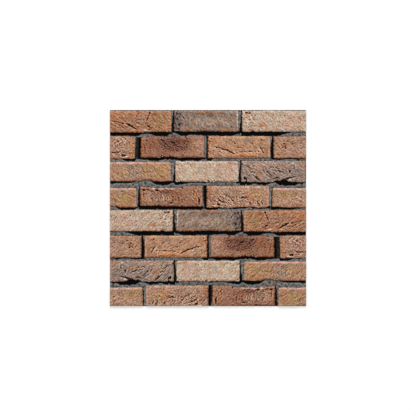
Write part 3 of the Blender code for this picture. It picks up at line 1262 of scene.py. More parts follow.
def scattered_pits(across, down, seed):
    """Small pits at random places, some of them shallow."""
    bent = PIT_BEND * noise_at(across, down, PIT_BEND_STEP, seed + PIT_SEED)
    place = Vector(((across + bent) / PIT_STEP, (down - bent) / PIT_STEP, seed + PIT_LAYER))
    distances, points = noise.voronoi(place)
    chosen = noise.cell(points[0] * PIT_PICK)
    radius = PIT_SMALLEST + PIT_LARGER * noise.cell(points[0] * PIT_SIZE_PICK)
    deep = smooth_step((chosen + PIT_MORE) / PIT_SOFT)
    return deep * smooth_step(PIT_FULL - distances[0] / radius)


def crack_depth(across, down, crack):
    """Depth of a crack at a place: ragged, and thinner at its ends."""
    low = min(spot[0] for spot in crack.places) - crack.width
    high = max(spot[0] for spot in crack.places) + crack.width
    if not low < across < high:
        return 0.0
    waver = [noise_at(across, down, CRACK_WAVER_STEP, seed) for seed in CRACK_WAVER_SEEDS]
    distance, along = line_distance(Vector((across, down)) + Vector(waver), crack.places)
    taper = 0.5 + 0.5 * math.sin(math.pi * min(1.0, max(0.0, along)))
    ragged = CRACK_RAGGED * noise_at(across, down, CRACK_RAGGED_STEP, CRACK_RAGGED_SEED)
    width = crack.width * taper * max(CRACK_THINNEST, 1.0 + ragged)
    return crack.depth * smooth_step(CRACK_FULL - distance / width)


def hollow_depth(across, down, hollow):
    """Depth of a pit at a place, or below nought the height of a lump."""
    reach = MARK_REACH * max(hollow.long, hollow.wide)
    if abs(across - hollow.across) >= reach or abs(down - hollow.down) >= reach:
        return 0.0
    along, over = turned(across - hollow.across, down - hollow.down, hollow.turn)
    distance = math.hypot(along / hollow.long, over / hollow.wide) / MARK_REACH
    return hollow.depth * smooth_step(HOLLOW_STEEP - HOLLOW_STEEP * distance)


def marks_depth(across, down, brick):
    """Depth of the cracks and hollows that the drawing names, less their lumps."""
    depth = 0.0
    for crack in brick.cracks:
        depth += crack_depth(across, down, crack)
    for hollow in brick.hollows:
        depth += hollow_depth(across, down, hollow)
    return depth


def side_insets(laid, along, up, sizes):
    """How far each side's line lies inside the straight one, at a place on the brick."""
    depth = in_mm(sizes.wander_depth)
    brick = laid.brick
    insets = {}
    for side, place in (("bottom", along), ("top", along), ("left", up), ("right", up)):
        line = wander(place, laid.seed + SIDE_SEEDS[side], depth)
        insets[side] = line + chip_depth(brick.chips, side, place)
    return insets


def rounded_corner(along, up, laid, radius):
    """Bends the mesh lines near a corner, so that the corner comes out round."""
    near_x = min(along, laid.length - along)
    near_y = min(up, laid.height - up)
    if near_x >= radius or near_y >= radius:
        return along, up
    a = 1.0 - near_x / radius
    b = 1.0 - near_y / radius
    new_x = radius * (1.0 - a * math.sqrt(1.0 - b * b / 2.0))
    new_y = radius * (1.0 - b * math.sqrt(1.0 - a * a / 2.0))
    along = new_x if along < laid.length / 2 else laid.length - new_x
    up = new_y if up < laid.height / 2 else laid.height - new_y
    return along, up


def warped(along, up, laid, sizes):
    """Moves a place of the plain rectangle to the brick's uneven outline."""
    insets = side_insets(laid, along, up, sizes)
    arris = in_mm(sizes.arris_radius)
    reaches = {"bottom": up, "top": laid.height - up, "left": along, "right": laid.length - along}
    pull = {}
    for side, reach in reaches.items():
        place = along if side in ("bottom", "top") else up
        side_seed = laid.seed + SIDE_SEED_GAIN * SIDE_SEEDS[side]
        fine = summed_noise(RAGGED_WAVES, place, reach, side_seed)
        fine *= RAGGED_DEPTH * (1.0 + RAGGED_CHIPS * chip_depth(laid.brick.chips, side, place))
        wide = (insets[side] + arris) * (1.0 - smooth_step(reach / EDGE_PULL))
        pull[side] = wide + fine * (1.0 - smooth_step(reach / RAGGED_PULL))
    new_along, new_up = rounded_corner(along, up, laid, in_mm(sizes.corner_radius))
    return new_along + pull["left"] - pull["right"], new_up + pull["bottom"] - pull["top"]


def face_relief(across, down, laid, relief):
    """How far the face lies below its highest crests, and its painted shade in tears and pits."""
    seed = float(laid.seed)
    brick = laid.brick
    low = in_mm(relief.face_drop)
    low += in_mm(relief.swell) * noise_at(across, down, SWELL_STEP, seed)
    low += in_mm(relief.lump) * noise_at(across, down, LUMP_STEP, seed + LUMP_SEED)
    low += in_mm(relief.grain) * noise_at(across, down, GRAIN_STEP, seed + GRAIN_SEED)
    along, over = clay_flow(across, down, brick.crease_turn, seed)
    rough = brick.crease
    stroke = strokes(along, over, seed + STROKE_SEED)
    torn = 0.0
    patch = TORN_PATCH_GAIN * noise_at(across, down, TORN_PATCH_STEP, seed + TORN_PATCH_SEED)
    patchy = smooth_step(0.5 + patch + brick.crease - 1.0)
    if patchy > 0.0:
        torn = TORN_SHARE * patchy * tears(along, over, seed + STROKE_SEED)
    for number, fold in enumerate(brick.folds):
        mask = fold_mask(across, down, fold)
        if mask > 0.0:
            fold_seed = seed + FOLD_SEED + FOLD_SEED_STEP * number
            along, over = clay_flow(across, down, fold.turn, fold_seed)
            stroke += mask * fold.depth * (strokes(along, over, fold_seed) - stroke)
            torn = max(torn, mask * fold.depth * tears(along, over, fold_seed))
            rough = max(rough, rough + mask * (fold.depth * FOLD_ROUGHER - FOLD_SMOOTHER))
    low += in_mm(relief.wrinkle) * rough * stroke
    low += in_mm(relief.fold) * torn
    pits = brick.pits * scattered_pits(across, down, seed)
    low += in_mm(relief.pit) * pits
    return low, max(TORN_SHADE * torn, PIT_SHADE * pits)


def unit_grid(width, height, cell):
    """A flat mesh of even squares from (0, 0), its vertices by column and row, and its data."""
    columns = max(1, round(width / cell))
    rows = max(1, round(height / cell))
    mesh = bmesh.new()
    layers = surface_layers(mesh)
    bmesh.ops.create_grid(mesh, x_segments=columns, y_segments=rows, size=0.5)
    bmesh.ops.translate(mesh, verts=mesh.verts, vec=(0.5, 0.5, 0.0))
    grid = {}
    for vert in mesh.verts:
        grid[round(vert.co.x * columns), round(vert.co.y * rows)] = vert
    bmesh.ops.scale(mesh, verts=mesh.verts, vec=(width, height, 1.0))
    return mesh, grid, layers


def rim_of(grid):
    """The vertices round the edge of a grid, counter-clockwise."""
    columns = max(column for column, _ in grid)
    rows = max(row for _, row in grid)
    rim = [grid[column, 0] for column in range(columns)]
    rim += [grid[columns, row] for row in range(rows)]
    rim += [grid[columns - column, rows] for column in range(columns)]
    rim += [grid[0, rows - row] for row in range(rows)]
    return rim


def outward_ways(rim, reach):
    """The way out of the brick at each place on its rim, smoothed along the rim."""
    ways = []
    for number in range(len(rim)):
        before = rim[number - reach].co
        after = rim[(number + reach) % len(rim)].co
        tangent = (after - before).to_2d()
        ways.append(Vector((tangent.y, -tangent.x)).normalized())
    return ways


def next_ring(mesh, ring):
    """Extrudes a closed ring of vertices, and gives the new ring in the same order."""
    edges = []
    for number, vert in enumerate(ring):
        edges.append(mesh.edges.get((ring[number - 1], vert)))
    grown = bmesh.ops.extrude_edge_only(mesh, edges=edges)["geom"]
    fresh = {item for item in grown if isinstance(item, bmesh.types.BMVert)}
    partner = {}
    for vert in fresh:
        for edge in vert.link_edges:
            other = edge.other_vert(vert)
            if other not in fresh:
                partner[other] = vert
    return [partner[vert] for vert in ring]


def surface_layers(mesh):
    """The vertex data that the materials read."""
    floats = mesh.verts.layers.float
    vectors = mesh.verts.layers.float_vector
    return {
        "place": vectors.new("place"),
        "lit": floats.new("lit"),
        # Painted shade in the cracks, pits and tears
        "hollow": floats.new("hollow"),
        "shade": floats.new("shade"),
    }


def print_light(grid, heights, layers, gain, cavity_gain):
    """Stores the printed light and shade of each place: bright where the relief faces the
    light and on its crests, dark on the lee side and in its hollows."""
    for (column, row), vert in grid.items():
        right = grid.get((column + 1, row), vert)
        left = grid.get((column - 1, row), vert)
        above = grid.get((column, row + 1), vert)
        below = grid.get((column, row - 1), vert)
        run = max(LEAST_RUN, right.co.x - left.co.x)
        climb = max(LEAST_RUN, above.co.y - below.co.y)
        slope_across = (heights[right] - heights[left]) / run
        slope_up = (heights[above] - heights[below]) / climb
        facing = -slope_across * PRINT_LIGHT.x + slope_up * PRINT_LIGHT.y
        around = 0.0
        for step_across, step_up in CREST_RING:
            near = grid.get((column + step_across, row + step_up), vert)
            around += heights[near] / len(CREST_RING)
        crest = heights[vert] - around
        vert[layers["lit"]] = math.tanh(facing * gain + crest * cavity_gain)


def model_face(laid, sizes, relief):
    """The relief of a brick's face on a grid, with the data for its printed light and painted
    shade.
    """
    mesh, grid, layers = unit_grid(laid.length, laid.height, in_mm(sizes.mesh_cell))
    crest = in_mm(sizes.bed_thickness + sizes.brick_relief) + laid.brick.prouder
    heights = {}
    for vert in grid.values():
        along, up = vert.co.x, vert.co.y
        reach = min(along, laid.length - along, up, laid.height - up)
        along, up = warped(along, up, laid, sizes)
        across = laid.left + along
        down = laid.top + laid.height - up
        low, torn = face_relief(across, down, laid, relief)
        marks = marks_depth(across, down, laid.brick)
        vert.co = (across, -down, crest - max(0.0, low + marks))
        heights[vert] = -low - marks - EDGE_FALL * math.exp(-reach / EDGE_FALL_REACH)
        vert[layers["place"]] = (across, -down, 0.0)
        # The hollow data is painted shade in the cracks, pits and tears
        vert[layers["hollow"]] = min(1.0, max(smooth_step(marks - HOLLOW_SHADE_FROM), torn))
    print_light(grid, heights, layers, PRINT_GAIN, CAVITY_GAIN)
    return mesh, grid, layers


def carry(source, target, layers, way, depth):
    """Gives a wall's vertex the printed light of the rim above it, and its place down the wall.
    """
    place = source[layers["place"]]
    target[layers["place"]] = (place.x + way.x * depth, place.y + way.y * depth, 0.0)
    target[layers["lit"]] = source[layers["lit"]]
    target[layers["hollow"]] = 0.0


def wall_shade(way, across, step, line):
    """How black a wall is printed: where it turns from the light, but not on a lit foot."""
    facing = -way.x * PRINT_LIGHT.x + way.y * PRINT_LIGHT.y
    shade = smooth_step(WALL_SHADE + WALL_SHADE_GAIN * facing) * min(1.0, step / 2)
    if way.y < FOOT_WAY:
        shade *= smooth_step((on_line(line, across) + FOOT_LIT) / FOOT_FADE)
    return shade


def add_walls(mesh, grid, layers, laid, sizes):
    """Rounds the arris, drops the walls into the bed and closes the brick below."""
    rim = rim_of(grid)
    ways = outward_ways(rim, WAY_REACH)
    radii = []
    for vert in rim:
        worn = 1.0 + ARRIS_WEAR * noise_at(vert.co.x, vert.co.y, ARRIS_WEAR_STEP, laid.seed)
        radii.append(in_mm(sizes.arris_radius) * worn)
    tops = [vert.co.copy() for vert in rim]
    ring = rim
    for step in range(1, ARRIS_RINGS + 1):
        angle = ARRIS_TURN * step / ARRIS_RINGS
        ring = next_ring(mesh, ring)
        for number, vert in enumerate(ring):
            out = radii[number] * math.sin(angle)
            drop = radii[number] * (1.0 - math.cos(angle))
            way = ways[number]
            vert.co = tops[number] + Vector((way.x * out, way.y * out, -drop))
            carry(rim[number], vert, layers, way, radii[number] * angle)
    root = in_mm(sizes.bed_thickness) * ROOT_SHARE
    shoulders = [vert.co.copy() for vert in ring]
    for step in range(1, WALL_RINGS + 1):
        ring = next_ring(mesh, ring)
        for number, vert in enumerate(ring):
            way = ways[number]
            top = shoulders[number]
            fall = (top.z - root) * step / WALL_RINGS
            rough = 0.0
            if step < WALL_RINGS:
                rough = WALL_ROUGH * noise_at(top.x + top.y, fall, WALL_ROUGH_STEP, laid.seed)
            out = in_mm(sizes.brick_draft) * step / WALL_RINGS + rough
            vert.co = top + Vector((way.x * out, way.y * out, -fall))
            carry(rim[number], vert, layers, way, radii[number] * ARRIS_ARC + fall)
            vert[layers["shade"]] = wall_shade(way, vert.co.x, step, laid.course.shadow)
    edges = [mesh.edges.get((ring[number - 1], vert)) for number, vert in enumerate(ring)]
    foot = bmesh.ops.edgeloop_fill(mesh, edges=edges)["faces"][0]
    foot.normal_update()
    if foot.normal.z > 0.0:
        foot.normal_flip()


def to_tile(mesh, sizes, run):
    """Moves a piece from the drawing to the tile, mirrored in the lower half."""
    if run % 2 == 1:
        flip = Matrix.Scale(-1.0, 4, Vector((1.0, 0.0, 0.0)))
        shift = Vector((TILE_WIDTH - in_mm(sizes.mirror_shift), 0.0, 0.0))
        bmesh.ops.transform(mesh, matrix=Matrix.Translation(shift) @ flip, verts=mesh.verts)
        bmesh.ops.reverse_faces(mesh, faces=mesh.faces)
    drop = run * run_height(sizes)
    offset = Vector((-TILE_WIDTH / 2, TILE_HEIGHT / 2 - drop, 0.0))
    bmesh.ops.translate(mesh, verts=mesh.verts, vec=offset)


def run_height(sizes):
    """The height of one run of the pattern, in millimetres."""
    return len(PATTERN) * in_mm(sizes.brick_height + sizes.bed_joint)


def die_cut(mesh):
    """Cuts a piece at the tile's four edges, and closes each cut."""
    ways = (
        (Vector((1.0, 0.0, 0.0)), TILE_WIDTH / 2),
        (Vector((-1.0, 0.0, 0.0)), TILE_WIDTH / 2),
        (Vector((0.0, 1.0, 0.0)), TILE_HEIGHT / 2),
        (Vector((0.0, -1.0, 0.0)), TILE_HEIGHT / 2),
    )
    for way, reach in ways:
        if all(vert.co.dot(way) <= reach for vert in mesh.verts):
            continue
        geom = [*mesh.verts, *mesh.edges, *mesh.faces]
        made = bmesh.ops.bisect_plane(
            mesh, geom=geom, dist=CUT_SLACK, plane_co=way * reach, plane_no=way, clear_outer=True
        )
        cut = [item for item in made["geom_cut"] if isinstance(item, bmesh.types.BMEdge)]
        if cut:
            bmesh.ops.edgeloop_fill(mesh, edges=cut)
    bmesh.ops.recalc_face_normals(mesh, faces=mesh.faces)


def unwrap(mesh):
    """Lays the faces out flat: the face and its walls as they unroll, and the rest beside."""
    uv = mesh.loops.layers.uv.new("OFBake")
    place_data = mesh.verts.layers.float_vector["place"]
    low_x = min(vert[place_data].x for vert in mesh.verts)
    low_y = min(vert[place_data].y for vert in mesh.verts)
    beside = max(vert[place_data].y for vert in mesh.verts) - low_y + CUT_ROW
    spots = {}
    for face in mesh.faces:
        normal = face.normal
        centre = face.calc_center_median()
        for loop in face.loops:
            co = loop.vert.co
            place = loop.vert[place_data]
            across = place.x - low_x
            up = place.y - low_y
            if abs(normal.x) > SQUARE_ON and abs(centre.x) > TILE_WIDTH / 2 - CUT_NEAR:
                spot = ((co.y + TILE_HEIGHT / 2) % CUT_RUN, co.z + beside)
            elif abs(normal.y) > SQUARE_ON and abs(centre.y) > TILE_HEIGHT / 2 - CUT_NEAR:
                spot = (across, co.z + beside + CUT_ROW)
            elif normal.z < -SQUARE_ON:
                spot = (across * FOOT_SCALE, up * FOOT_SCALE + beside + 2 * CUT_ROW)
            else:
                spot = (across, up)
            spots[loop] = spot
    side = max(max(spot) for spot in spots.values()) + 2 * UV_MARGIN
    for loop, spot in spots.items():
        loop[uv].uv = ((spot[0] + UV_MARGIN) / side, (spot[1] + UV_MARGIN) / side)


def add_piece(name, mesh, material):
    """Puts a finished mesh in the scene, in metres, in place of the plain tile."""
    bmesh.ops.scale(mesh, verts=mesh.verts, vec=(MM, MM, MM))
    data = bpy.data.meshes.new(name)
    mesh.to_mesh(data)
    mesh.free()
    data.materials.append(material)
    data.shade_smooth()
    data.set_sharp_from_angle(angle=SHARP_ANGLE)
    piece = bpy.data.objects.new(name, data)
    bpy.context.scene.collection.objects.link(piece)
    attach(piece, "root")
    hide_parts(ROOT_NODE)
    return piece


@dataclass(frozen=True)
class Spot:
    """Where a place of the bed lies between the bricks round it, in millimetres."""

    covered: float
    below: float
    reach: float
    beside: float
    side_reach: float


def brick_edges(item, across, down, sizes):
    """A brick's left, right, top and bottom lines, level with a place on the drawing."""
    along = min(item.length, max(0.0, across - item.left))
    up = min(item.height, max(0.0, item.top + item.height - down))
    insets = side_insets(item, along, up, sizes)
    left = item.left + insets["left"]
    right = item.left + item.length - insets["right"]
    top = item.top + insets["top"]
    bottom = item.top + item.height - insets["bottom"]
    return left, right, top, bottom


def on_line(line, across):
    """The value of a line of (place, value) pairs at a place across the tile."""
    before = line[0]
    for after in line:
        if across < after[0]:
            gap = after[0] - before[0]
            if gap <= 0.0:
                return after[1]
            return before[1] + (after[1] - before[1]) * (across - before[0]) / gap
        before = after
    return before[1]


def spot_in_bed(across, down, layout, sizes):
    """Finds the bricks round a place of the bed."""
    pitch = in_mm(sizes.brick_height + sizes.bed_joint)
    covered = -math.inf
    below, reach = math.inf, 0.0
    beside, side_reach = math.inf, 0.0
    for item in layout:
        if abs(item.top + item.height / 2 - down) > pitch:
            continue
        if not item.left - JOINT_WIDEST < across < item.left + item.length + JOINT_WIDEST:
            continue
        left, right, top, bottom = brick_edges(item, across, down, sizes)
        inside = min(across - left, right - across, down - top, bottom - down)
        covered = max(covered, inside)
        in_line = left - UNDER_PAST_SIDE < across < right + UNDER_PAST_SIDE
        if in_line and 0.0 <= down - bottom < below:
            below = down - bottom
            reach = on_line(item.course.shadow, across)
        level = top - BESIDE_ABOVE < down < bottom + BESIDE_BELOW
        if level and 0.0 <= left - across < beside:
            beside = left - across
            line = tuple(zip(SIDE_PLACES, item.brick.shadow))
            side_reach = on_line(line, (down - top) / (bottom - top))
    return Spot(covered, below, reach, beside, side_reach)


def to_drawing(across, down, sizes):
    """A place on the tile as a place on the drawing."""
    run = max(0, int((down - in_mm(sizes.top_strip) + SEAM_AHEAD) // run_height(sizes)))
    if run % 2 == 1:
        across = TILE_WIDTH - in_mm(sizes.mirror_shift) - across
    return across, down - run * run_height(sizes)


def shadow_at(spot, across, down):
    """How black the printed shadow is at a place of the bed."""
    ragged = summed_noise(SHADOW_WAVES, across, down)
    under = smooth_step((spot.reach + SHADOW_MORE + ragged - spot.below) / UNDER_SOFT + 0.5)
    soft = max(SIDE_SOFT, SIDE_SOFTER * spot.side_reach)
    side = smooth_step((spot.side_reach + ragged * SIDE_RAGGED - spot.beside) / soft + 0.5)
    side *= 1.0 - FAR_LIGHTER * smooth_step((spot.beside - FAR_FROM) / FAR_RUN)
    return max(under, side)


def bed_level(across, down, shade, sizes, relief):
    """The height of the mortar at a place on the drawing."""
    lumps = in_mm(relief.mortar_lump) * summed_noise(MORTAR_WAVES, across, down)
    lift = BED_LIFT * (1.0 - shade) - BED_SHADE_DROP * shade
    return in_mm(sizes.bed_thickness) + lumps + lift


def model_bed(layout, sizes, relief):
    """The mortar bed: lumpy between the bricks and plain under them."""
    cell = in_mm(sizes.mesh_cell)
    mesh, grid, layers = unit_grid(TILE_WIDTH - 2 * BED_INSET, TILE_HEIGHT - 2 * BED_INSET, cell)
    columns = max(column for column, _ in grid)
    rows = max(row for _, row in grid)
    spots = {}
    hidden = set()
    for key, vert in grid.items():
        across = vert.co.x + BED_INSET
        down = TILE_HEIGHT - vert.co.y - BED_INSET
        across, down = to_drawing(across, down, sizes)
        spot = spot_in_bed(across, down, layout, sizes)
        spots[key] = (across, down, spot)
        near_edge = min(key[0], key[1], columns - key[0], rows - key[1]) < EDGE_CELLS
        if spot.covered > BED_UNDER and not near_edge:
            hidden.add(vert)
    doomed = [face for face in mesh.faces if all(vert in hidden for vert in face.verts)]
    bmesh.ops.delete(mesh, geom=doomed, context="FACES")
    grid = {key: vert for key, vert in grid.items() if vert.is_valid}
    heights = {}
    for key, vert in grid.items():
        across, down, spot = spots[key]
        shade = shadow_at(spot, across, down)
        level = bed_level(across, down, shade, sizes, relief)
        tuck = smooth_step((spot.covered - TUCK_FROM) / TUCK_RUN)
        vert.co.z = level + (in_mm(sizes.bed_thickness) - TUCK_DROP - level) * tuck
        heights[vert] = level
        vert[layers["place"]] = (across, -down, 0.0)
        vert[layers["shade"]] = shade
    print_light(grid, heights, layers, BED_PRINT_GAIN, BED_CAVITY_GAIN)
    # A painted highlight on the unshaded mortar of the head joints
    for key, vert in grid.items():
        beside = spots[key][-1].beside
        head = smooth_step(HEAD_FULL - beside / HEAD_REACH) * (1.0 - vert[layers["shade"]])
        vert[layers["lit"]] += HEAD_LIT * head
    return mesh, grid


def close_bed(mesh, grid):
    """Fills the plain ground under the bricks, and adds the cut edges and the back."""
    border = set(rim_of(grid))
    inner = []
    outer = []
    for edge in mesh.edges:
        if len(edge.link_faces) == 1:
            (outer if border.issuperset(edge.verts) else inner).append(edge)
    bmesh.ops.edgeloop_fill(mesh, edges=inner)
    grown = bmesh.ops.extrude_edge_only(mesh, edges=outer)["geom"]
    bottom = {item for item in grown if isinstance(item, bmesh.types.BMVert)}
    for vert in bottom:
        vert.co.z = 0.0
    grown_edges = [item for item in grown if isinstance(item, bmesh.types.BMEdge)]
    low_edges = [edge for edge in grown_edges if bottom.issuperset(edge.verts)]
    bmesh.ops.edgeloop_fill(mesh, edges=low_edges)
    bmesh.ops.recalc_face_normals(mesh, faces=mesh.faces)


def unwrap_bed(mesh):
    """Lays the bed's face out at full scale, with its back and edges beside it."""
    uv = mesh.loops.layers.uv.new("OFBake")
    side = TILE_WIDTH + BACK_SCALE * TILE_WIDTH + 2 * BACK_GAP
    for face in mesh.faces:
        normal = face.normal
        for loop in face.loops:
            co = loop.vert.co
            across = co.x + TILE_WIDTH / 2
            up = co.y + TILE_HEIGHT / 2
            if normal.z < -SQUARE_ON:
                spot = (TILE_WIDTH + BACK_GAP + across * BACK_SCALE, up * BACK_SCALE)
            elif abs(normal.x) > SQUARE_ON:
                row = EDGE_ROWS["right" if normal.x > 0.0 else "left"]
                spot = (up, TILE_HEIGHT + row + co.z)
            elif abs(normal.y) > SQUARE_ON:
                row = EDGE_ROWS["top" if normal.y > 0.0 else "bottom"]
                spot = (across, TILE_HEIGHT + row + co.z)
            else:
                spot = (across, up)
            loop[uv].uv = ((spot[0] + UV_MARGIN) / side, (spot[1] + UV_MARGIN) / side)


def put(tree, kind, inputs=None, **settings):
    """Adds a node, sets it up, and feeds its inputs from sockets or plain values."""
    made = tree.nodes.new(kind)
    for name, value in settings.items():
        setattr(made, name, value)
    for key, value in (inputs or {}).items():
        if isinstance(value, bpy.types.NodeSocket):
            tree.links.new(value, made.inputs[key])
        else:
            made.inputs[key].default_value = value
    return made


def maths(tree, operation, first, second=0.0, third=0.0, clamp=False):
    """The result of a Math node."""
    inputs = {0: first, 1: second, 2: third}
    return put(tree, "ShaderNodeMath", inputs, operation=operation, use_clamp=clamp).outputs[0]


def blend_colour(tree, factor, first, second):
    """The result of a Mix node that is set to colours."""
    inputs = {MIX_FACTOR: factor, MIX_FIRST: first, MIX_SECOND: second}
    return put(tree, "ShaderNodeMix", inputs, data_type="RGBA").outputs[MIX_RESULT]


def vector_maths(tree, operation, inputs):
    """The result of a Vector Math node."""
    return put(tree, "ShaderNodeVectorMath", inputs, operation=operation).outputs[0]


def weighed(tree, parts):
    """The sum of several values, each times its own gain."""
    total = 0.0
    for value, gain in parts:
        total = maths(tree, "MULTIPLY_ADD", value, gain, total)
    return total


def noise_value(tree, place, scale, detail, rough):
    """Smooth noise about nought, from -0.5 to 0.5."""
    inputs = {"Vector": place, "Scale": scale, "Detail": detail, "Roughness": rough}
    made = put(tree, "ShaderNodeTexNoise", inputs, noise_dimensions="3D")
    return maths(tree, "SUBTRACT", made.outputs["Fac"], 0.5)


def attribute(tree, name, output):
    """A mesh attribute of the piece."""
    return put(tree, "ShaderNodeAttribute", attribute_name=name).outputs[output]


def new_group(name, inputs, outputs):
    """An empty node group with named sockets, and its input and output nodes."""
    group = bpy.data.node_groups.new(name, "ShaderNodeTree")
    for label, kind, default in inputs:
        socket = group.interface.new_socket(label, in_out="INPUT", socket_type=kind)
        socket.default_value = default
    for label, kind in outputs:
        group.interface.new_socket(label, in_out="OUTPUT", socket_type=kind)
    return group, put(group, "NodeGroupInput"), put(group, "NodeGroupOutput")


def use_group(tree, group, inputs):
    """The first result of a node group that is placed in a material."""
    return put(tree, "ShaderNodeGroup", inputs, node_tree=group).outputs[0]


def stain_patch_group():
    """A mask for a soft patch of colour: an ellipse on the drawing."""
    group, given, result = new_group(
        "Stain Patch",
        (
            ("Place", "NodeSocketVector", (0.0, 0.0, 0.0)),
            ("Centre", "NodeSocketVector", (0.0, 0.0, 0.0)),
            ("Half Size", "NodeSocketVector", (1.0, 1.0, 1.0)),
            ("Turn", "NodeSocketFloat", 0.0),
        ),
        (("Mask", "NodeSocketFloat"),),
    )
    socket = given.outputs
    moved = vector_maths(group, "SUBTRACT", {0: socket["Place"], 1: socket["Centre"]})
    inputs = {"Vector": moved, "Angle": socket["Turn"]}
    turn = put(group, "ShaderNodeVectorRotate", inputs, rotation_type="Z_AXIS")
    scaled = vector_maths(group, "DIVIDE", {0: turn.outputs[0], 1: socket["Half Size"]})
    far = put(group, "ShaderNodeVectorMath", {0: scaled}, operation="LENGTH").outputs["Value"]
    inputs = {"Value": far, "From Min": STAIN_OUTER, "From Max": STAIN_INNER}
    mask = put(group, "ShaderNodeMapRange", inputs, interpolation_type="SMOOTHSTEP")
    group.links.new(mask.outputs[0], result.inputs["Mask"])
    return group


def hue_drift_group():
    """Lets a colour drift between two tints of itself from place to place."""
    group, given, result = new_group(
        "Hue Drift",
        (
            ("Colour", "NodeSocketColor", (0.5, 0.5, 0.5, 1.0)),
            ("Place", "NodeSocketVector", (0.0, 0.0, 0.0)),
            ("Scale", "NodeSocketFloat", 1.0),
            ("One Tint", "NodeSocketVector", (1.0, 1.0, 1.0)),
            ("Other Tint", "NodeSocketVector", (1.0, 1.0, 1.0)),
        ),
        (("Colour", "NodeSocketColor"),),
    )
    socket = given.outputs
    drift = noise_value(group, socket["Place"], socket["Scale"], DRIFT_DETAIL, DRIFT_ROUGH)
    share_of_one = maths(group, "MULTIPLY_ADD", drift, DRIFT_GAIN, 0.5, clamp=True)
    other = vector_maths(group, "MULTIPLY", {0: socket["Colour"], 1: socket["Other Tint"]})
    one = vector_maths(group, "MULTIPLY", {0: socket["Colour"], 1: socket["One Tint"]})
    group.links.new(blend_colour(group, share_of_one, other, one), result.inputs["Colour"])
    return group


def clay_tone_group():
    """Darkens or lightens a fired clay colour: mottle, painted light on crests, painted shade in
    hollows.
    """
    group, given, result = new_group(
        "Clay Tone",
        (
            ("Colour", "NodeSocketColor", (0.5, 0.5, 0.5, 1.0)),
            ("Tone", "NodeSocketFloat", 0.0),
        ),
        (("Colour", "NodeSocketColor"),),
    )
    plain = given.outputs["Colour"]
    tone = given.outputs["Tone"]
    dark = vector_maths(group, "MULTIPLY", {0: plain, 1: DARK_GAIN})
    light = vector_maths(group, "MULTIPLY", {0: plain, 1: LIGHT_GAIN})
    down = maths(group, "MULTIPLY", tone, -1.0, clamp=True)
    up = maths(group, "MULTIPLY", tone, 1.0, clamp=True)
    lower = blend_colour(group, down, plain, dark)
    group.links.new(blend_colour(group, up, lower, light), result.inputs["Colour"])
    return group


def cut_edge_group():
    """A mask for the die-cut edges of the sheet, where its grey compound shows."""
    group, given, result = new_group(
        "Cut Edge",
        (("Position", "NodeSocketVector", (0.0, 0.0, 0.0)),),
        (("Mask", "NodeSocketFloat"),),
    )
    parts = put(group, "ShaderNodeSeparateXYZ", {0: given.outputs["Position"]})
    side = maths(group, "ABSOLUTE", parts.outputs[0])
    end = maths(group, "ABSOLUTE", parts.outputs[1])
    on_side = maths(group, "GREATER_THAN", side, (TILE_WIDTH / 2 - CUT_MARGIN) * MM)
    on_end = maths(group, "GREATER_THAN", end, (TILE_HEIGHT / 2 - CUT_MARGIN) * MM)
    either = maths(group, "MAXIMUM", on_side, on_end)
    under = maths(group, "LESS_THAN", parts.outputs[2], BACK_MARGIN * MM)
    group.links.new(maths(group, "MAXIMUM", either, under), result.inputs["Mask"])
    return group


def start_material(name):
    """A material with nodes, its shader and an empty tree round it."""
    material = bpy.data.materials.new(name)
    material.use_nodes = True
    tree = material.node_tree
    return material, tree, tree.nodes["Principled BSDF"]


def find_colour(colours, name):
    """A named colour as the user has set it."""
    return (*getattr(colours, name), 1.0)


def finish_shader(tree, shader, colour_out, grain, speckle, finish):
    """Feeds the shader its colour, its roughness and the bump of its speckle and grain."""
    rough = maths(tree, "MULTIPLY_ADD", grain, finish.rough_gain, finish.rough, clamp=True)
    height = maths(tree, "MULTIPLY_ADD", speckle, finish.speckle, grain)
    inputs = {"Height": height, "Distance": finish.bump, "Strength": BUMP_STRENGTH}
    bump = put(tree, "ShaderNodeBump", inputs)
    tree.links.new(colour_out, shader.inputs["Base Color"])
    tree.links.new(rough, shader.inputs["Roughness"])
    tree.links.new(bump.outputs[0], shader.inputs["Normal"])
    shader.inputs["Specular IOR Level"].default_value = TILE_SHINE


def compound(tree, place, colours):
    """The grey compound of the sheet, faintly mottled."""
    mottle = noise_value(tree, place, *COMPOUND_MOTTLE)
    factor = maths(tree, "MULTIPLY_ADD", mottle, COMPOUND_GAIN, 0.5, clamp=True)
    base = find_colour(colours, "compound")
    light = tuple(min(1.0, part * COMPOUND_LIGHTER) for part in base)
    return blend_colour(tree, factor, base, light)


def with_cut_edge(tree, groups, colours, face_colour):
    """A face's colour, and the bare compound where the sheet was cut."""
    position = put(tree, "ShaderNodeTexCoord").outputs["Object"]
    edge = use_group(tree, groups["edge"], {"Position": position})
    place = vector_maths(tree, "SCALE", {0: position, "Scale": 1.0 / MM})
    return blend_colour(tree, edge, face_colour, compound(tree, place, colours))


def wobbled(tree, place, bend, amount):
    """A place that is moved about a little, so that a stain's outline comes out uneven."""
    return vector_maths(tree, "MULTIPLY_ADD", {0: bend, 1: (amount,) * 3, 2: place})


def drifted(tree, groups, colour_in, place, scale, one, other):
    """A colour that drifts between two tints of itself."""
    inputs = {
        "Colour": colour_in,
        "Place": place,
        "Scale": scale,
        "One Tint": one,
        "Other Tint": other,
    }
    return use_group(tree, groups["drift"], inputs)


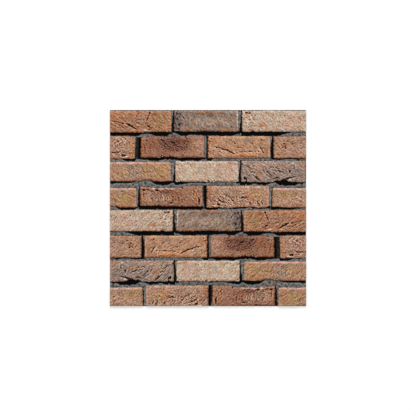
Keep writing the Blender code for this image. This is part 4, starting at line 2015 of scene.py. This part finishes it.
def stained(tree, groups, colours, brick, near_place, far_place, patchy):
    """A brick's own colour with its stains and painted highlights; a small one keeps closer to
    its place.
    """
    hue = find_colour(colours, brick.colour)
    for stain in brick.stains:
        small = min(stain.long, stain.wide) < SMALL_STAIN
        inputs = {
            "Place": near_place if small else far_place,
            "Centre": (stain.across, -stain.down, 0.0),
            "Half Size": (stain.long, stain.wide, STAIN_DEEP),
            "Turn": math.radians(stain.turn),
        }
        mask = use_group(tree, groups["stain"], inputs)
        strength = maths(tree, "MULTIPLY", mask, stain.strength)
        strength = maths(tree, "MULTIPLY", strength, patchy, clamp=True)
        hue = blend_colour(tree, strength, hue, find_colour(colours, stain.colour))
    return hue


def brick_material(item, colours, groups):
    """Fired clay with this brick's own stains and grain, and its painted light and shade."""
    brick = item.brick
    material, tree, shader = start_material(f"brick_{item.name}_{brick.colour}")
    place = attribute(tree, "place", "Vector")
    lit = attribute(tree, "lit", "Fac")
    # Painted shade in the cracks, pits and tears
    hollow = attribute(tree, "hollow", "Fac")
    shade = attribute(tree, "shade", "Fac")
    inputs = {"Vector": place, "Scale": WOBBLE_SCALE, "Detail": WOBBLE_DETAIL}
    wobble = put(tree, "ShaderNodeTexNoise", inputs).outputs["Color"]
    bend = vector_maths(tree, "SUBTRACT", {0: wobble, 1: (0.5, 0.5, 0.5)})
    far_place = wobbled(tree, place, bend, STAIN_WOBBLE)
    near_place = wobbled(tree, place, bend, SMALL_WOBBLE)
    mottle = noise_value(tree, place, *BRICK_MOTTLE)
    speckle = noise_value(tree, place, *BRICK_SPECKLE)
    grain = noise_value(tree, place, *BRICK_GRAIN)
    patchy = maths(tree, "MULTIPLY_ADD", speckle, STAIN_PATCHY, 1.0)
    hue = stained(tree, groups, colours, brick, near_place, far_place, patchy)
    hue = drifted(tree, groups, hue, far_place, WARM_SCALE, WARM_GAIN, COOL_GAIN)
    hue = drifted(tree, groups, hue, place, ROSE_SCALE, ROSE_GAIN, GREEN_GAIN)
    parts = (
        (mottle, MOTTLE_TONE),
        (speckle, SPECKLE_TONE),
        (grain, GRAIN_TONE),
        (lit, LIT_TONE),
    )
    tone = maths(tree, "MULTIPLY", weighed(tree, parts), brick.contrast)
    # The painted shade of the hollows darkens the tone and mixes in the crack colour
    tone = maths(tree, "MULTIPLY_ADD", hollow, -HOLLOW_SHADE_TONE, tone)
    toned = use_group(tree, groups["tone"], {"Colour": hue, "Tone": tone})
    torn = blend_colour(tree, hollow, toned, find_colour(colours, "crack"))
    inked = blend_colour(tree, shade, torn, find_colour(colours, "shadow"))
    final = with_cut_edge(tree, groups, colours, inked)
    finish_shader(tree, shader, final, grain, speckle, BRICK_FINISH)
    return material


def bed_material(colours, groups):
    """Rough grey mortar with its printed light and shadows, and the compound on the cut edges."""
    material, tree, shader = start_material("grey_mortar")
    place = attribute(tree, "place", "Vector")
    lit = attribute(tree, "lit", "Fac")
    shade = attribute(tree, "shade", "Fac")
    mottle = noise_value(tree, place, *BED_MOTTLE)
    speckle = noise_value(tree, place, *BED_SPECKLE)
    grain = noise_value(tree, place, *BED_GRAIN)
    parts = (
        (mottle, BED_MOTTLE_TONE),
        (speckle, BED_SPECKLE_TONE),
        (grain, BED_GRAIN_TONE),
        (lit, BED_LIT_TONE),
    )
    inputs = {"Colour": find_colour(colours, "mortar"), "Tone": weighed(tree, parts)}
    toned = use_group(tree, groups["tone"], inputs)
    toned = drifted(tree, groups, toned, place, ROSE_SCALE, ROSE_GAIN, GREEN_GAIN)
    inked = blend_colour(tree, shade, toned, find_colour(colours, "shadow"))
    final = with_cut_edge(tree, groups, colours, inked)
    finish_shader(tree, shader, final, grain, speckle, BED_FINISH)
    return material


def shared_groups():
    """The node groups that the materials share, made once."""
    makers = {
        "Stain Patch": ("stain", stain_patch_group),
        "Clay Tone": ("tone", clay_tone_group),
        "Hue Drift": ("drift", hue_drift_group),
        "Cut Edge": ("edge", cut_edge_group),
    }
    groups = {}
    for name, (key, make) in makers.items():
        groups[key] = bpy.data.node_groups.get(name) or make()
    return groups


class TileColours(bpy.types.PropertyGroup):
    """Colours of the bricks, their stains and the sheet."""


for colour_name, (colour_label, colour_default) in CLAYS.items():
    TileColours.__annotations__[colour_name] = colour(
        colour_label, f"{colour_label} on the tile", colour_default
    )


class TileStage(bpy.types.PropertyGroup):
    """Camera, floor and light."""

    frame_width: size("Frame width", "What the picture shows from side to side", 646.4)
    lens: share("Lens", "Focal length of the camera in mm", 200.0)
    world_light: share("World light", "Strength of the even light from all round", 0.55)
    lamp_light: share("Lamp light", "Power of the soft lamp in watts", 26.0)


class BRICKTILE_OT_lay_bricks(bpy.types.Operator):
    """Model and finish the bricks of both halves of the tile."""

    bl_idname = "brick_tile.lay_bricks"
    bl_label = "Lay Bricks"

    def execute(self, context):
        scene = context.scene
        sizes = scene.brick_tile_sizes
        groups = shared_groups()
        for item in lay_out(sizes):
            master, grid, layers = model_face(item, sizes, scene.brick_tile_relief)
            add_walls(master, grid, layers, item, sizes)
            material = brick_material(item, scene.brick_tile_colours, groups)
            for run, half in enumerate(HALVES):
                mesh = master.copy()
                to_tile(mesh, sizes, run)
                die_cut(mesh)
                unwrap(mesh)
                add_piece(f"brick_{half}_{item.name}", mesh, material)
            master.free()
        return {"FINISHED"}


class BRICKTILE_OT_cast_bed(bpy.types.Operator):
    """Model and finish the mortar bed, its cut edges and its flat back."""

    bl_idname = "brick_tile.cast_bed"
    bl_label = "Cast Mortar Bed"

    def execute(self, context):
        scene = context.scene
        sizes = scene.brick_tile_sizes
        mesh, grid = model_bed(lay_out(sizes), sizes, scene.brick_tile_relief)
        close_bed(mesh, grid)
        offset = Vector((BED_INSET - TILE_WIDTH / 2, BED_INSET - TILE_HEIGHT / 2, 0.0))
        bmesh.ops.translate(mesh, verts=mesh.verts, vec=offset)
        unwrap_bed(mesh)
        material = bed_material(scene.brick_tile_colours, shared_groups())
        add_piece("mortar_bed", mesh, material)
        return {"FINISHED"}


class BRICKTILE_OT_set_stage(bpy.types.Operator):
    """Set the camera, the pale floor and the soft light."""

    bl_idname = "brick_tile.set_stage"
    bl_label = "Set Stage"

    def execute(self, context):
        stage = context.scene.brick_tile_stage
        add_floor()
        add_camera(stage)
        add_light(stage)
        context.scene.view_settings.view_transform = "Standard"
        return {"FINISHED"}


def add_floor():
    """A large pale floor that looks white, and still takes the tile's shadow."""
    mesh = bmesh.new()
    bmesh.ops.create_grid(mesh, x_segments=1, y_segments=1, size=FLOOR_REACH)
    bmesh.ops.translate(mesh, verts=mesh.verts, vec=(0.0, 0.0, -FLOOR_GAP))
    data = bpy.data.meshes.new("floor")
    mesh.to_mesh(data)
    mesh.free()
    material, tree, shader = start_material("white_floor")
    shader.inputs["Base Color"].default_value = FLOOR_GREY
    shader.inputs["Roughness"].default_value = FLOOR_ROUGH
    shader.inputs["Specular IOR Level"].default_value = FLOOR_SHINE
    path = put(tree, "ShaderNodeLightPath")
    seen = maths(tree, "MAXIMUM", path.outputs["Is Camera Ray"], path.outputs["Is Glossy Ray"])
    seen = maths(tree, "MAXIMUM", seen, path.outputs["Is Transmission Ray"])
    lift = maths(tree, "MULTIPLY", seen, FLOOR_LIFT)
    shader.inputs["Emission Color"].default_value = WHITE
    tree.links.new(lift, shader.inputs["Emission Strength"])
    data.materials.append(material)
    floor = bpy.data.objects.new("floor", data)
    bpy.context.scene.collection.objects.link(floor)


def add_camera(stage):
    """A long lens straight above the tile, with the top of the picture up the wall."""
    data = bpy.data.cameras.new("camera")
    data.lens = stage.lens
    distance = stage.frame_width * data.lens / data.sensor_width
    data.clip_end = CLIP_TIMES * distance
    camera = bpy.data.objects.new("camera", data)
    camera.location = (0.0, 0.0, TILE_HIGH.z + distance)
    bpy.context.scene.collection.objects.link(camera)
    bpy.context.scene.camera = camera


def add_light(stage):
    """An even white world, and one soft lamp from the top of the tile."""
    world = bpy.data.worlds.new("studio")
    bpy.context.scene.world = world
    world.use_nodes = True
    background = world.node_tree.nodes["Background"]
    background.inputs["Color"].default_value = WHITE
    tree = world.node_tree
    path = put(tree, "ShaderNodeLightPath")
    seen = maths(tree, "MAXIMUM", path.outputs["Is Camera Ray"], stage.world_light)
    tree.links.new(seen, background.inputs["Strength"])
    data = bpy.data.lights.new("soft_lamp", "AREA")
    data.energy = stage.lamp_light
    data.shape = "DISK"
    data.size = LAMP_SIZE
    lamp = bpy.data.objects.new("soft_lamp", data)
    lamp.location = LAMP_PLACE
    lamp.rotation_euler = (-LAMP_PLACE).to_track_quat("-Z", "Y").to_euler()
    bpy.context.scene.collection.objects.link(lamp)


class BRICKTILE_PT_panel(bpy.types.Panel):
    """The tile's pieces, sizes and colours."""

    bl_idname = "BRICKTILE_PT_panel"
    bl_label = "Brick Tile"
    bl_space_type = "VIEW_3D"
    bl_region_type = "UI"
    bl_category = "Brick Tile"

    def draw(self, context):
        for operator in OPERATORS:
            self.layout.operator(operator.bl_idname)
        for group in PROPERTY_GROUPS:
            settings = getattr(context.scene, group)
            box = self.layout.box()
            for name in settings.__annotations__:
                box.prop(settings, name)


OPERATORS = (BRICKTILE_OT_cast_bed, BRICKTILE_OT_lay_bricks, BRICKTILE_OT_set_stage)
PROPERTY_GROUPS = {
    "brick_tile_sizes": TileSizes,
    "brick_tile_relief": TileRelief,
    "brick_tile_colours": TileColours,
    "brick_tile_stage": TileStage,
}
CLASSES = (*PROPERTY_GROUPS.values(), *OPERATORS, BRICKTILE_PT_panel)


def register():
    """Registers the classes, and gives the scene its settings."""
    for item in CLASSES:
        bpy.utils.register_class(item)
    for name, group in PROPERTY_GROUPS.items():
        setattr(bpy.types.Scene, name, PointerProperty(type=group))


def unregister():
    """Takes the settings and the classes away again."""
    for name in PROPERTY_GROUPS:
        delattr(bpy.types.Scene, name)
    for item in reversed(CLASSES):
        bpy.utils.unregister_class(item)


def main():
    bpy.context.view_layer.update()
    register()
    bpy.ops.brick_tile.cast_bed()
    bpy.ops.brick_tile.lay_bricks()
    bpy.ops.brick_tile.set_stage()


if __name__ == "__main__":
    main()
